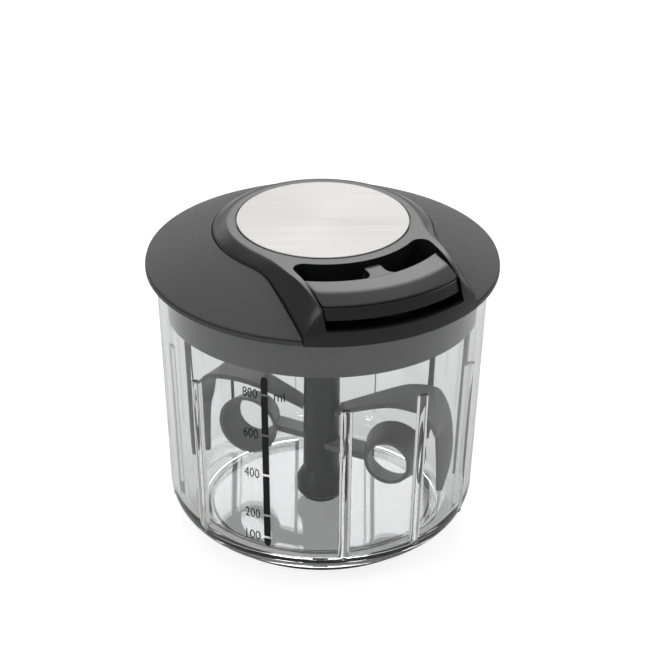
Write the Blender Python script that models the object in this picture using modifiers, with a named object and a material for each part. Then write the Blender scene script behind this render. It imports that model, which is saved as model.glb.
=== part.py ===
"""Food chopper with a pull cord: jar, lifting lid, cord mechanism and mixing insert.

The origin is on the jar's axis, on the surface that the chopper stands on. The front of
the jar faces -Y. The lid is turned about +Z, so that its handle points to the right of
the front. Everything in the lid is placed in the lid's own frame, where the handle is
pulled along -Y; there, "ahead" is a distance along -Y and "aside" one along +X.
"""
import math

import bmesh
import bpy
from mathutils import Matrix, Vector

MM = 0.001

# Clearances
GAP = 0.3 * MM                    # between pieces that touch
RUNNING_GAP = 0.35 * MM           # between a turning piece and what carries it
OVERRUN = 2.0 * MM                # how far a cutter passes what it cuts
MERGE = 0.005 * MM
SMOOTH_ANGLE = math.radians(35.0)

# Facets round a full turn
LARGE_STEPS = 48
MEDIUM_STEPS = 28
SMALL_STEPS = 12
KNOT_ROWS = 8
CORD_PROFILE_STEPS = 2
HEX_SIDES = 6

# Jar
JAR_HEIGHT = 110.0 * MM
JAR_LOW_RADIUS = 60.1 * MM        # outside, where the wall meets the rounded corner
JAR_LEAN = 0.049                  # widening of the wall per unit of height
JAR_WALL = 2.7 * MM
JAR_CORNER = 17.0 * MM            # outer radius of the rounded bottom corner
JAR_FOOT_Z = 1.3 * MM
JAR_FOOT_OUTER = 47.9 * MM
JAR_FOOT_INNER = 43.6 * MM
JAR_FLOOR_UNDER = 4.5 * MM
JAR_FLOOR = 3.0 * MM
JAR_INNER_CORNER = 11.0 * MM
BOSS_RADIUS = 6.5 * MM
BOSS_RISE = 0.7 * MM
CORNER_POINTS = 6

# Ribs inside the jar
RIB_COUNT = 12
RIB_SKIPPED = 11                  # the place that the printed scale takes
RIB_FIRST_ANGLE = math.radians(8.9)
RIB_RADIUS = 2.3 * MM
RIB_TOP = 80.0 * MM
RIB_START_SHARE = 0.4             # up the inner bottom corner
RIB_SIDES = 8
RIB_CAP_POINTS = 2

# Anti-slip ring under the foot
RING_OUTER = 47.3 * MM
RING_INNER = 44.3 * MM
TONGUE_WIDTH = 1.2 * MM
TONGUE_TOP = 3.0 * MM

# Pivot pin of the mixing insert
PIN_RADIUS = 1.5 * MM
PIN_SUNK = 2.3 * MM
PIN_HEIGHT = 5.5 * MM             # above the boss
PIN_BEVEL = 0.4 * MM

# Mixer shaft
SHAFT_RADIUS = 7.07 * MM
SHAFT_COLLAR = 9.5 * MM
SHAFT_FOOT_RADIUS = 7.0 * MM
COLLAR_BOTTOM = 10.3 * MM
COLLAR_TOP = 16.0 * MM
COLLAR_SLOPE_TOP = 20.5 * MM
HEX_CORNER = 6.0 * MM             # from the axis to a corner of the drive end
HEX_TOP = 104.0 * MM

# Upper wings of the insert
WING_REACH = 52.0 * MM
WING_TIP_Z = 18.4 * MM
WING_CREST_Z = 58.6 * MM
WING_THICKNESS = 2.0 * MM
WING_ROUNDING_SHARE = 0.35
WING_STEPS = 3                    # sections between two stations
# Stations from the shaft to the tip: leading edge, then trailing edge. The first two are
# shares of the reach, and the third a share of the height from tip to crest.
WING_SHARES = (
    ((0.096, 0.048, 0.699), (0.096, -0.115, 0.711)),
    ((0.192, 0.017, 0.754), (0.192, -0.160, 0.779)),
    ((0.481, -0.025, 0.915), (0.481, -0.287, 0.935)),
    ((0.673, -0.035, 0.995), (0.673, -0.404, 0.973)),
    ((0.852, -0.065, 1.000), (0.750, -0.398, 0.910)),
    ((0.912, -0.085, 0.948), (0.835, -0.420, 0.759)),
    ((0.970, -0.135, 0.786), (0.850, -0.345, 0.637)),
    ((1.000, -0.198, 0.552), (0.860, -0.245, 0.540)),
    ((0.982, -0.250, 0.289), (0.870, -0.270, 0.260)),
    ((0.925, -0.288, 0.000), (0.872, -0.302, 0.000)),
)

# Lower arms with their scoops
SCOOP_DISTANCE = 31.3 * MM        # from the shaft's axis to the scoop's centre
SCOOP_BEARING = math.radians(-27.6)
SCOOP_YAW = math.radians(19.9)    # of the scoop's axis, from +Y toward +X
SCOOP_Z = 33.5 * MM
SCOOP_LENGTH = 11.8 * MM
SCOOP_SMALL_RADIUS = 9.5 * MM
SCOOP_LARGE_RADIUS = 12.6 * MM
SCOOP_WALL = 1.45 * MM
ARM_WIDTH = 8.6 * MM
ARM_OFFSET = -1.5 * MM            # of the arm's middle from the line to the scoop's centre
ARM_THICKNESS = 2.4 * MM
ARM_TILT = math.radians(5.0)

# Lid base: the grey collar with its floor
COLLAR_RADIUS = 60.3 * MM
COLLAR_LOW_Z = 93.5 * MM
COLLAR_BEVEL = 0.8 * MM
COLLAR_WALL = 3.1 * MM
LID_FLOOR_Z = 95.0 * MM
LID_FLOOR = 2.0 * MM
FLANGE_RADIUS = 66.0 * MM
FLANGE = 1.4 * MM
SEAL_Z = 107.2 * MM
SEAL_HEIGHT = 1.9 * MM
SEAL_GROOVE = 1.3 * MM
SEAL_BEVEL_SHARE = 0.25
BEARING_RADIUS = 10.3 * MM
BEARING_WALL = 1.9 * MM
BEARING_TOP = 104.0 * MM

# Screws that hold the housing on the lid base
SCREW_CIRCLE = 36.4 * MM
SCREW_ANGLES = tuple(math.radians(a) for a in (60.0, 120.0, 240.0, 300.0))
SCREW_RADIUS = 1.25 * MM
SCREW_HEAD_RADIUS = 2.6 * MM
SCREW_HEAD = 1.8 * MM
SCREW_TOP = 121.0 * MM
SCREW_SUNK = 0.5 * MM
COLUMN_RADIUS = 4.2 * MM

# Cover: the black outer shell, with a keyhole cut for the housing
COVER_RADIUS = 68.65 * MM
COVER_RIM_LOW = 110.6 * MM
COVER_RIM_HIGH = 113.2 * MM
COVER_RIM_WALL = 2.0 * MM
COVER_WALL = 2.2 * MM             # measured upright
COVER_SLOPE = 0.4645
COVER_BULGE = 0.5 * MM
COVER_INNER = 40.0 * MM
COVER_POINTS = 4

# Housing: ring round the steel disc, and the nose that the handle sits in
LID_TURN = math.radians(26.2)     # from the front of the jar to the handle
HOUSING_TOP = 129.3 * MM
RING_TOP_RADIUS = 37.3 * MM
RING_FOOT_RADIUS = 42.6 * MM
DISC_SEAT_RADIUS = 33.75 * MM
NOSE_HALF_FOOT = 36.2 * MM
NOSE_HALF_TOP = 29.2 * MM         # half width across the rails at their front end
NOSE_TOP_LEAN = 0.10              # widening of the rails toward the ring
NOSE_TOP_REACH = 65.0 * MM        # radius at the front end of the rails
NOSE_DROP = 5.3 * MM              # fall of the rails to their front end
NOSE_DROP_START = 38.0 * MM
NOSE_DROP_POWER = 2.0
NOSE_FLAT_SHARES = (0.36, 0.70)   # rings of points across the top of the nose
FRONT_BREAK_SHARES = (0.15, 0.306)  # inward and upward, where the side wall bends
NECK_BLEND_FOOT = 4.0 * MM
NECK_BLEND_TOP = 5.0 * MM
NECK_END = math.radians(68.0)
NECK_FADE = 14.0 * MM             # fall of the nose's line per radian past the neck
FRONT_POINTS = 12
SIDE_POINTS = 34
HOUSING_WALL = 2.2 * MM
HOUSING_LOW_Z = 112.5 * MM
CEILING_Z = 126.4 * MM
DISC_SEAT_Z = 128.6 * MM

# Recess behind and under the handle
RECESS_BACK = 38.2 * MM
RECESS_HALF = 28.6 * MM
RECESS_CORNER = 4.0 * MM
RECESS_STEP = 0.3 * MM            # the recess is narrower below the lip's top
RECESS_FLOOR = 114.3 * MM
RECESS_WALL = 2.0 * MM
SLOT_Z = 116.5 * MM
LIP_INNER = 66.2 * MM

# Steel disc
DISC_RADIUS = 33.3 * MM
DISC_THICKNESS = 0.8 * MM
DISC_BEVEL = 0.25 * MM

# Cord
CORD_RADIUS = 0.8 * MM
CORD_Z = 122.0 * MM
CORD_ASIDE = 0.8 * MM
CORD_WOUND_RADIUS = 16.0 * MM     # mean radius of the wound cord
CORD_START = 9.0 * MM             # past the point where it leaves the winding
CORD_STEPS = 14
CORD_BEND_SHARES = (0.80, 0.93)   # of the way to the guide, where it straightens
WINDING_THICKNESS = 2.4 * MM
WINDING_HEIGHT = 5.0 * MM

# Guide eyelet of the cord
GUIDE_BORE = 1.35 * MM
GUIDE_RADIUS = 2.2 * MM
GUIDE_FLANGE_RADIUS = 3.2 * MM
GUIDE_FLANGE = 0.8 * MM
GUIDE_BACK = 35.6 * MM

# Pull handle
HANDLE_BACK = 48.6 * MM           # radius of its back face
HANDLE_CREASE = 63.6 * MM         # radius where the shells meet in front
HANDLE_FRONT = 66.0 * MM
HANDLE_HALF = 28.0 * MM
HANDLE_TOP = 127.8 * MM
HANDLE_LOW = 119.4 * MM
HANDLE_SPLIT = 124.3 * MM
HANDLE_FACE_SHARE = 0.48          # part of the depth that the top face takes
HANDLE_FACE_FALL = 0.6 * MM
HANDLE_EDGE = 0.8 * MM
HANDLE_POINTS = 13
STEM_HALF = 3.4 * MM
STEM_FLARE = 4.6 * MM
STEM_DEPTH = 3.0 * MM             # into the bar
STEM_POINTS = 5
BORE_RADIUS = 1.15 * MM
KNOT_RADIUS = 1.6 * MM
KNOT_AHEAD = 53.0 * MM
GRIP_SCREW_ASIDE = 16.0 * MM
GRIP_SCREW_CIRCLE = 55.5 * MM
GRIP_SCREW_RADIUS = 1.0 * MM
GRIP_SCREW_HEAD_RADIUS = 2.0 * MM
GRIP_SCREW_HEAD = 1.2 * MM
GRIP_SCREW_TOP = 126.3 * MM

# Axle, screw and clip of the spool
AXLE_RADIUS = 2.5 * MM
AXLE_LOW = 108.2 * MM
ARBOR_RADIUS = 4.2 * MM
CLIP_Z = 109.0 * MM
CLIP_THICKNESS = 0.8 * MM
CLIP_RADIUS = 4.6 * MM
CLIP_GROOVE = 0.7 * MM
AXLE_SCREW_RADIUS = 1.1 * MM
AXLE_SCREW_HEAD_RADIUS = 2.8 * MM
AXLE_SCREW_HEAD = 0.7 * MM
AXLE_SCREW_LENGTH = 8.0 * MM
AXLE_SCREW_SEAT = 1.1 * MM        # above the ceiling

# Cord spool
SPOOL_HUB_RADIUS = 5.2 * MM
SPOOL_HUB_LOW = 110.1 * MM
SPOOL_LOW = 112.4 * MM
SPOOL_TOP = 124.8 * MM
SPOOL_FLANGE = 1.4 * MM
SPOOL_FLANGE_RADIUS = 24.0 * MM
SPOOL_DRUM_WALL = 1.6 * MM
SPOOL_HUB_PLATE = 1.8 * MM

# Recoil spring
SPRING_TURNS = 6
SPRING_STRIP = 0.45 * MM
SPRING_HEIGHT = 7.0 * MM
SPRING_STEPS = 16                 # sections in one turn

# One-way clutch between the spool and the coupling
CLUTCH_PLATE = 2.0 * MM
CLUTCH_RING_RADIUS = 9.0 * MM
FINGER_COUNT = 2
FINGER_SWEEP = math.radians(75.0)
FINGER_WIDTH = 1.4 * MM
FINGER_STEPS = 9
TOOTH_COUNT = 12
TOOTH_DEPTH = 1.6 * MM
TOOTH_ROOT_RADIUS = 20.2 * MM
TOOTH_SHARES = (0.0, 0.9)         # of the pitch, at a tooth's root and at its tip

# Drive coupling and its bush
COUPLING_RADIUS = 22.0 * MM
COUPLING_DISC_Z = 105.6 * MM
COUPLING_DISC = 2.0 * MM
COUPLING_TOP = 111.8 * MM
COUPLING_LOW = 95.6 * MM
COUPLING_TUBE = 8.25 * MM
SOCKET_TOP = 104.6 * MM
BUSH_FLANGE = 0.9 * MM
BUSH_FLANGE_RADIUS = 12.0 * MM

# Colours, roughness and metallic value of each material
MATERIALS = {
    "clear_plastic": ((0.86, 0.88, 0.89), 0.06, 0.0),
    "black_rubber": ((0.02, 0.02, 0.02), 0.80, 0.0),
    "satin_steel": ((0.72, 0.71, 0.69), 0.32, 1.0),
    "dark_plastic": ((0.035, 0.035, 0.037), 0.42, 0.0),
    "grey_plastic": ((0.16, 0.16, 0.165), 0.45, 0.0),
    "collar_grey": ((0.12, 0.12, 0.13), 0.40, 0.0),
    "cover_black": ((0.045, 0.045, 0.047), 0.60, 0.0),
    "housing_black": ((0.05, 0.05, 0.052), 0.42, 0.0),
    "white_plastic": ((0.62, 0.62, 0.60), 0.45, 0.0),
    "silicone": ((0.30, 0.30, 0.31), 0.70, 0.0),
    "spring_steel": ((0.35, 0.36, 0.38), 0.30, 1.0),
    "cord_black": ((0.03, 0.03, 0.03), 0.85, 0.0),
}


def clear_scene():
    """Start from an empty scene."""
    for item in list(bpy.data.objects):
        bpy.data.objects.remove(item, do_unlink=True)


def new_collection(name):
    collection = bpy.data.collections.new(name)
    bpy.context.scene.collection.children.link(collection)
    return collection


def material(name):
    """The named material, made on its first use."""
    found = bpy.data.materials.get(name)
    if found:
        return found
    colour, roughness, metallic = MATERIALS[name]
    made = bpy.data.materials.new(name)
    made.use_nodes = True
    shader = made.node_tree.nodes["Principled BSDF"]
    shader.inputs["Base Color"].default_value = (*colour, 1.0)
    shader.inputs["Roughness"].default_value = roughness
    shader.inputs["Metallic"].default_value = metallic
    return made


def add_object(name, mesh, finish, parent):
    """A piece of the chopper, shaded smooth up to its sharp edges."""
    mesh.shade_smooth()
    mesh.set_sharp_from_angle(angle=SMOOTH_ANGLE)
    mesh.materials.append(material(finish))
    piece = bpy.data.objects.new(name, mesh)
    parts.objects.link(piece)
    piece.parent = parent
    return piece


def add_cutter(name, mesh, parent):
    """A body that is cut away from a piece or joined to it."""
    cutter = bpy.data.objects.new(name, mesh)
    cutters.objects.link(cutter)
    cutter.parent = parent
    cutter.hide_render = True
    cutter.display_type = "WIRE"
    return cutter


def combine(piece, other, operation):
    modifier = piece.modifiers.new(other.name, "BOOLEAN")
    modifier.operation = operation
    modifier.object = other
    modifier.solver = "EXACT"


def finish_mesh(name, bm):
    bmesh.ops.recalc_face_normals(bm, faces=bm.faces)
    mesh = bpy.data.meshes.new(name)
    bm.to_mesh(mesh)
    bm.free()
    return mesh


def loft_mesh(name, rings):
    """A closed body through rings of points, with a flat end at each end."""
    bm = bmesh.new()
    rows = [[bm.verts.new(point) for point in ring] for ring in rings]
    for low, high in zip(rows, rows[1:]):
        for i, corner in enumerate(low):
            j = (i + 1) % len(low)
            bm.faces.new((corner, low[j], high[j], high[i]))
    bm.faces.new(rows[0])
    bm.faces.new(rows[-1])
    bmesh.ops.remove_doubles(bm, verts=bm.verts, dist=MERGE)
    return finish_mesh(name, bm)


def prism_mesh(name, outline, low, high):
    """A flat outline of (x, y) points, raised from low to high."""
    rings = [[(x, y, z) for x, y in outline] for z in (low, high)]
    return loft_mesh(name, rings)


def cylinder_mesh(name, radius, low, high, steps, top_radius=None):
    """A round body on the Z axis; a second radius makes it a cone."""
    bm = bmesh.new()
    middle = Matrix.Translation((0.0, 0.0, (low + high) / 2))
    bmesh.ops.create_cone(
        bm, cap_ends=True, segments=steps, radius1=radius,
        radius2=radius if top_radius is None else top_radius,
        depth=high - low, matrix=middle)
    return finish_mesh(name, bm)


def stepped_mesh(name, levels, steps):
    """A round body on the Z axis through (radius, height) levels, from the bottom up."""
    turns = [2 * math.pi * i / steps for i in range(steps)]
    rings = [[(radius * math.cos(turn), radius * math.sin(turn), height) for turn in turns]
             for radius, height in levels]
    return loft_mesh(name, rings)


def turned(name, profile, finish, parent, steps):
    """A round piece from its profile of (radius, height) points, down the outside."""
    bm = bmesh.new()
    points = [bm.verts.new((radius, 0.0, height)) for radius, height in profile]
    for first, second in zip(points, points[1:]):
        bm.edges.new((first, second))
    open_profile = profile[0][0] == 0.0 and profile[-1][0] == 0.0
    if not open_profile:
        bm.edges.new((points[-1], points[0]))
    mesh = bpy.data.meshes.new(name)
    bm.to_mesh(mesh)
    bm.free()
    piece = add_object(name, mesh, finish, parent)
    screw = piece.modifiers.new("turn", "SCREW")
    screw.axis = "Z"
    screw.steps = steps
    screw.render_steps = steps
    screw.use_merge_vertices = True
    screw.merge_threshold = MERGE
    screw.use_smooth_shade = True
    return piece


def arc(centre, radius, start, end, count):
    """Points on an arc, from the start angle to the end angle."""
    span = end - start
    angles = [start + span * i / (count - 1) for i in range(count)]
    return [(centre[0] + radius * math.cos(a), centre[1] + radius * math.sin(a)) for a in angles]


def curve_point(points, place):
    """A point on the smooth curve through the given points; place counts from 0."""
    index = min(int(place), len(points) - 2)
    share = place - index
    near = points[index]
    far = points[index + 1]
    before = points[index - 1] if index else near + (near - far)
    after = points[index + 2] if index + 2 < len(points) else far + (far - near)
    square, cube = share ** 2, share ** 3
    return 0.5 * (2 * near + (far - before) * share
                  + (2 * before - 5 * near + 4 * far - after) * square
                  + (3 * near - before - 3 * far + after) * cube)


def ahead_matrix(aside, ahead, height):
    """Puts a body that is built up the Z axis along the handle's pull, from a point."""
    place = Matrix.Translation((aside, -ahead, height))
    return place @ Matrix.Rotation(math.radians(90.0), 4, "X")


def jar_radius(height):
    """Outer radius of the jar's wall."""
    return JAR_LOW_RADIUS + JAR_LEAN * (height - JAR_FOOT_Z - JAR_CORNER)


def floor_top():
    """Height of the jar's floor inside."""
    return JAR_FLOOR_UNDER + JAR_FLOOR


def boss_top():
    return floor_top() + BOSS_RISE


def build_jar():
    corner_z = JAR_FOOT_Z + JAR_CORNER
    inner_z = floor_top() + JAR_INNER_CORNER
    inner_wall = jar_radius(inner_z) - JAR_WALL
    groove = (RING_OUTER + RING_INNER) / 2
    half_groove = TONGUE_WIDTH / 2 + GAP
    hole = PIN_RADIUS + GAP
    hole_low = boss_top() - PIN_SUNK - GAP
    profile = [
        (0.0, hole_low), (hole, hole_low), (hole, boss_top()), (BOSS_RADIUS, boss_top()),
        (BOSS_RADIUS + BOSS_RISE, floor_top()),
    ]
    inner_centre = (inner_wall - JAR_INNER_CORNER, inner_z)
    profile += arc(inner_centre, JAR_INNER_CORNER, -math.pi / 2, 0.0, CORNER_POINTS)
    profile += [(jar_radius(JAR_HEIGHT) - JAR_WALL, JAR_HEIGHT),
                (jar_radius(JAR_HEIGHT), JAR_HEIGHT)]
    corner_centre = (JAR_LOW_RADIUS - JAR_CORNER, corner_z)
    foot_angle = -math.acos((JAR_FOOT_OUTER - JAR_LOW_RADIUS + JAR_CORNER) / JAR_CORNER)
    profile += arc(corner_centre, JAR_CORNER, 0.0, foot_angle, CORNER_POINTS)
    profile += [
        (JAR_FOOT_OUTER, JAR_FOOT_Z),
        (groove + half_groove, JAR_FOOT_Z), (groove + half_groove, TONGUE_TOP + GAP),
        (groove - half_groove, TONGUE_TOP + GAP), (groove - half_groove, JAR_FOOT_Z),
        (JAR_FOOT_INNER, JAR_FOOT_Z), (JAR_FOOT_INNER, JAR_FLOOR_UNDER),
        (0.0, JAR_FLOOR_UNDER),
    ]
    jar = turned("jar", profile, "clear_plastic", jar_axis, LARGE_STEPS)
    combine(jar, rib_bodies(), "UNION")


def rib_bodies():
    """Upright ribs along the inside of the wall, with round tops."""
    low = floor_top() + JAR_INNER_CORNER * RIB_START_SHARE
    lean = math.atan(JAR_LEAN)
    length = (RIB_TOP - low) / math.cos(lean) - RIB_RADIUS
    caps = [math.pi / 2 * i / (RIB_CAP_POINTS + 1) for i in range(1, RIB_CAP_POINTS + 1)]
    rings = [(RIB_RADIUS, 0.0), (RIB_RADIUS, length)]
    rings += [(RIB_RADIUS * math.cos(a), length + RIB_RADIUS * math.sin(a)) for a in caps]
    bm = bmesh.new()
    for index in range(RIB_COUNT):
        if index == RIB_SKIPPED:
            continue
        angle = RIB_FIRST_ANGLE + 2 * math.pi * index / RIB_COUNT
        radius = jar_radius(low) - JAR_WALL
        place = Matrix.Rotation(angle - math.pi / 2, 4, "Z")
        place = place @ Matrix.Translation((radius, 0.0, low)) @ Matrix.Rotation(lean, 4, "Y")
        rows = []
        for ring_radius, height in rings:
            turns = [2 * math.pi * i / RIB_SIDES for i in range(RIB_SIDES)]
            ring = [Vector((ring_radius * math.cos(t), ring_radius * math.sin(t), height))
                    for t in turns]
            rows.append([bm.verts.new(place @ point) for point in ring])
        for lower, upper in zip(rows, rows[1:]):
            for i, corner in enumerate(lower):
                j = (i + 1) % RIB_SIDES
                bm.faces.new((corner, lower[j], upper[j], upper[i]))
        bm.faces.new(rows[0])
        bm.faces.new(rows[-1])
    return add_cutter("ribs", finish_mesh("ribs", bm), jar_axis)


def build_anti_slip_ring():
    middle = (RING_OUTER + RING_INNER) / 2
    half_tongue = TONGUE_WIDTH / 2
    top = JAR_FOOT_Z - GAP
    profile = [
        (RING_OUTER, top), (RING_OUTER, 0.0), (RING_INNER, 0.0), (RING_INNER, top),
        (middle - half_tongue, top), (middle - half_tongue, TONGUE_TOP),
        (middle + half_tongue, TONGUE_TOP), (middle + half_tongue, top),
    ]
    turned("anti_slip_ring", profile, "black_rubber", jar_axis, LARGE_STEPS)


def build_pivot_pin():
    low = boss_top() - PIN_SUNK
    top = boss_top() + PIN_HEIGHT
    profile = [
        (0.0, top), (PIN_RADIUS - PIN_BEVEL, top), (PIN_RADIUS, top - PIN_BEVEL),
        (PIN_RADIUS, low), (0.0, low),
    ]
    turned("pivot_pin", profile, "satin_steel", jar_axis, SMALL_STEPS)


def build_mixer_shaft():
    bottom = boss_top() + GAP
    bore = PIN_RADIUS + GAP
    bore_top = boss_top() + PIN_HEIGHT + GAP
    shaft_top = LID_FLOOR_Z
    profile = [
        (0.0, shaft_top), (SHAFT_RADIUS, shaft_top), (SHAFT_RADIUS, COLLAR_SLOPE_TOP),
        (SHAFT_COLLAR, COLLAR_TOP), (SHAFT_COLLAR, COLLAR_BOTTOM),
        (SHAFT_FOOT_RADIUS, bottom), (bore, bottom), (bore, bore_top), (0.0, bore_top),
    ]
    shaft = turned("mixer_shaft", profile, "dark_plastic", mixer_axis, MEDIUM_STEPS)
    drive_end = cylinder_mesh("drive_end", HEX_CORNER, COLLAR_SLOPE_TOP, HEX_TOP,
                              HEX_SIDES)
    combine(shaft, add_cutter("drive_end", drive_end, mixer_axis), "UNION")


def wing_sections():
    """Sections of a wing, as rings of six points round its two edges."""
    def place(shares):
        height = WING_TIP_Z + shares[2] * (WING_CREST_Z - WING_TIP_Z)
        return Vector((shares[0] * WING_REACH, shares[1] * WING_REACH, height))
    leading = [place(pair[0]) for pair in WING_SHARES]
    trailing = [place(pair[1]) for pair in WING_SHARES]
    last = (len(WING_SHARES) - 1) * WING_STEPS
    places = [i / WING_STEPS for i in range(last + 1)]
    front = [curve_point(leading, p) for p in places]
    back = [curve_point(trailing, p) for p in places]
    middle = [(a + b) / 2 for a, b in zip(front, back)]
    rings = []
    for i, (lead, trail) in enumerate(zip(front, back)):
        along = middle[min(i + 1, last)] - middle[max(i - 1, 0)]
        across = (lead - trail).normalized()
        normal = along.cross(across).normalized() * (WING_THICKNESS / 2)
        edge = across * (WING_THICKNESS * WING_ROUNDING_SHARE)
        rings.append([lead, lead - edge + normal, trail + edge + normal,
                      trail, trail + edge - normal, lead - edge - normal])
    return rings


def build_wings(shaft_hole):
    mesh = loft_mesh("wing", wing_sections())
    for name, turn in (("wing_right", 0.0), ("wing_left", math.pi)):
        wing = add_object(name, mesh.copy(), "grey_plastic", mixer_axis)
        wing.rotation_euler.z = turn
        combine(wing, shaft_hole, "DIFFERENCE")


def build_scoops(shaft_hole):
    """Arms that carry a funnel-shaped scoop each."""
    for name, turn in (("scoop_right", 0.0), ("scoop_left", math.pi)):
        frame = Matrix.Rotation(turn, 4, "Z")
        centre = Vector((math.cos(SCOOP_BEARING), math.sin(SCOOP_BEARING), 0.0))
        centre = centre * SCOOP_DISTANCE + Vector((0.0, 0.0, SCOOP_Z))
        lay_down = Matrix.Rotation(-SCOOP_YAW, 4, "Z") @ Matrix.Rotation(-math.pi / 2, 4, "X")
        place = frame @ Matrix.Translation(centre) @ lay_down
        half = SCOOP_LENGTH / 2
        shell = cylinder_mesh(name, SCOOP_SMALL_RADIUS, -half, half,
                              MEDIUM_STEPS, SCOOP_LARGE_RADIUS)
        scoop = add_object(name, shell, "grey_plastic", mixer_axis)
        scoop.matrix_local = place
        flare = (SCOOP_LARGE_RADIUS - SCOOP_SMALL_RADIUS) / SCOOP_LENGTH * OVERRUN
        hole = cylinder_mesh(
            name + "_hole", SCOOP_SMALL_RADIUS - SCOOP_WALL - flare, -half - OVERRUN,
            half + OVERRUN, MEDIUM_STEPS, SCOOP_LARGE_RADIUS - SCOOP_WALL + flare)
        hole_cutter = add_cutter(name + "_hole", hole, mixer_axis)
        hole_cutter.matrix_local = place
        bm = bmesh.new()
        bmesh.ops.create_cube(bm, size=1.0)
        bmesh.ops.scale(bm, vec=(SCOOP_DISTANCE, ARM_WIDTH, ARM_THICKNESS), verts=bm.verts)
        arm = add_cutter(name + "_arm", finish_mesh(name + "_arm", bm), mixer_axis)
        reach = Matrix.Translation((SCOOP_DISTANCE / 2, ARM_OFFSET, SCOOP_Z))
        turn_out = Matrix.Rotation(SCOOP_BEARING, 4, "Z")
        arm.matrix_local = frame @ turn_out @ reach @ Matrix.Rotation(ARM_TILT, 4, "X")
        combine(scoop, arm, "UNION")
        combine(scoop, hole_cutter, "DIFFERENCE")
        combine(scoop, shaft_hole, "DIFFERENCE")


def flange_low():
    return JAR_HEIGHT + GAP


def column_place(angle):
    """Where a housing screw stands, in the lid's frame."""
    return (SCREW_CIRCLE * math.sin(angle), -SCREW_CIRCLE * math.cos(angle), 0.0)


def at_screws(name, mesh):
    """A cutter with a copy of a body at each housing screw."""
    bm = bmesh.new()
    for angle in SCREW_ANGLES:
        known = set(bm.verts)
        bm.from_mesh(mesh)
        added = [vert for vert in bm.verts if vert not in known]
        bmesh.ops.translate(bm, vec=column_place(angle), verts=added)
    return add_cutter(name, finish_mesh(name, bm), lid_axis)


def build_lid_base():
    low = flange_low()
    high = low + FLANGE
    inner = COLLAR_RADIUS - COLLAR_WALL
    floor_top = LID_FLOOR_Z + LID_FLOOR
    seal_low = SEAL_Z - GAP
    seal_high = SEAL_Z + SEAL_HEIGHT + GAP
    groove = COLLAR_RADIUS - SEAL_GROOVE
    profile = [
        (inner, high), (FLANGE_RADIUS, high), (FLANGE_RADIUS, low), (COLLAR_RADIUS, low),
        (COLLAR_RADIUS, seal_high), (groove, seal_high), (groove, seal_low),
        (COLLAR_RADIUS, seal_low), (COLLAR_RADIUS, COLLAR_LOW_Z + COLLAR_BEVEL),
        (COLLAR_RADIUS - COLLAR_BEVEL, COLLAR_LOW_Z), (inner, COLLAR_LOW_Z),
        (inner, LID_FLOOR_Z), (BEARING_RADIUS, LID_FLOOR_Z), (BEARING_RADIUS, BEARING_TOP),
        (BEARING_RADIUS + BEARING_WALL, BEARING_TOP),
        (BEARING_RADIUS + BEARING_WALL, floor_top), (inner, floor_top),
    ]
    base = turned("lid_base", profile, "collar_grey", lid_axis, LARGE_STEPS)
    column_top = HOUSING_LOW_Z - GAP
    head_room = LID_FLOOR_Z + SCREW_SUNK + SCREW_HEAD + GAP
    head = SCREW_HEAD_RADIUS + GAP
    thread = SCREW_RADIUS + GAP
    levels = ((head, LID_FLOOR_Z - OVERRUN), (head, head_room), (thread, head_room),
              (thread, column_top + OVERRUN))
    column = cylinder_mesh("column", COLUMN_RADIUS, LID_FLOOR_Z + LID_FLOOR / 2, column_top,
                           SMALL_STEPS)
    hole = stepped_mesh("column_hole", levels, SMALL_STEPS)
    combine(base, at_screws("columns", column), "UNION")
    combine(base, at_screws("column_holes", hole), "DIFFERENCE")


def build_seal_ring():
    inner = COLLAR_RADIUS - SEAL_GROOVE + GAP
    outer = jar_radius(SEAL_Z) - JAR_WALL - GAP
    top = SEAL_Z + SEAL_HEIGHT
    bevel = SEAL_HEIGHT * SEAL_BEVEL_SHARE
    profile = [
        (inner, top), (outer - bevel, top), (outer, top - bevel), (outer, SEAL_Z + bevel),
        (outer - bevel, SEAL_Z), (inner, SEAL_Z),
    ]
    turned("seal_ring", profile, "silicone", lid_axis, LARGE_STEPS)


def cover_height(radius):
    """Height of the cover's outer surface at a radius."""
    inward = COVER_RADIUS - radius
    share = inward / (COVER_RADIUS - COVER_INNER)
    return COVER_RIM_HIGH + COVER_SLOPE * inward + 4 * COVER_BULGE * share * (1 - share)


def build_lid_cover(keyhole):
    rim_inner = COVER_RADIUS - COVER_RIM_WALL
    step = (COVER_RADIUS - COVER_INNER) / COVER_POINTS
    radii = [COVER_INNER + step * i for i in range(COVER_POINTS + 1)]
    profile = [(radius, cover_height(radius)) for radius in radii]
    profile += [(COVER_RADIUS, COVER_RIM_LOW), (rim_inner, COVER_RIM_LOW)]
    profile += [(rim_inner, cover_height(rim_inner) - COVER_WALL)]
    inside = [radius for radius in reversed(radii) if radius < rim_inner - step / 2]
    profile += [(radius, cover_height(radius) - COVER_WALL) for radius in inside]
    cover = turned("lid_cover", profile, "cover_black", lid_axis, LARGE_STEPS)
    combine(cover, keyhole, "DIFFERENCE")


def rounded_max(first, second, width):
    """The larger of two lengths, rounded over a width where they cross."""
    near = max(width - abs(first - second), 0.0) / width
    return max(first, second) + near ** 2 * width / 4


def side_radius(angle, ring, half, lean, width):
    """Radius of the keyhole outline beside the nose and round the ring."""
    reach = min(angle, NECK_END)
    line = half / (math.sin(reach) + lean * math.cos(reach))
    return rounded_max(ring, line - NECK_FADE * (angle - reach), width)


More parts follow.
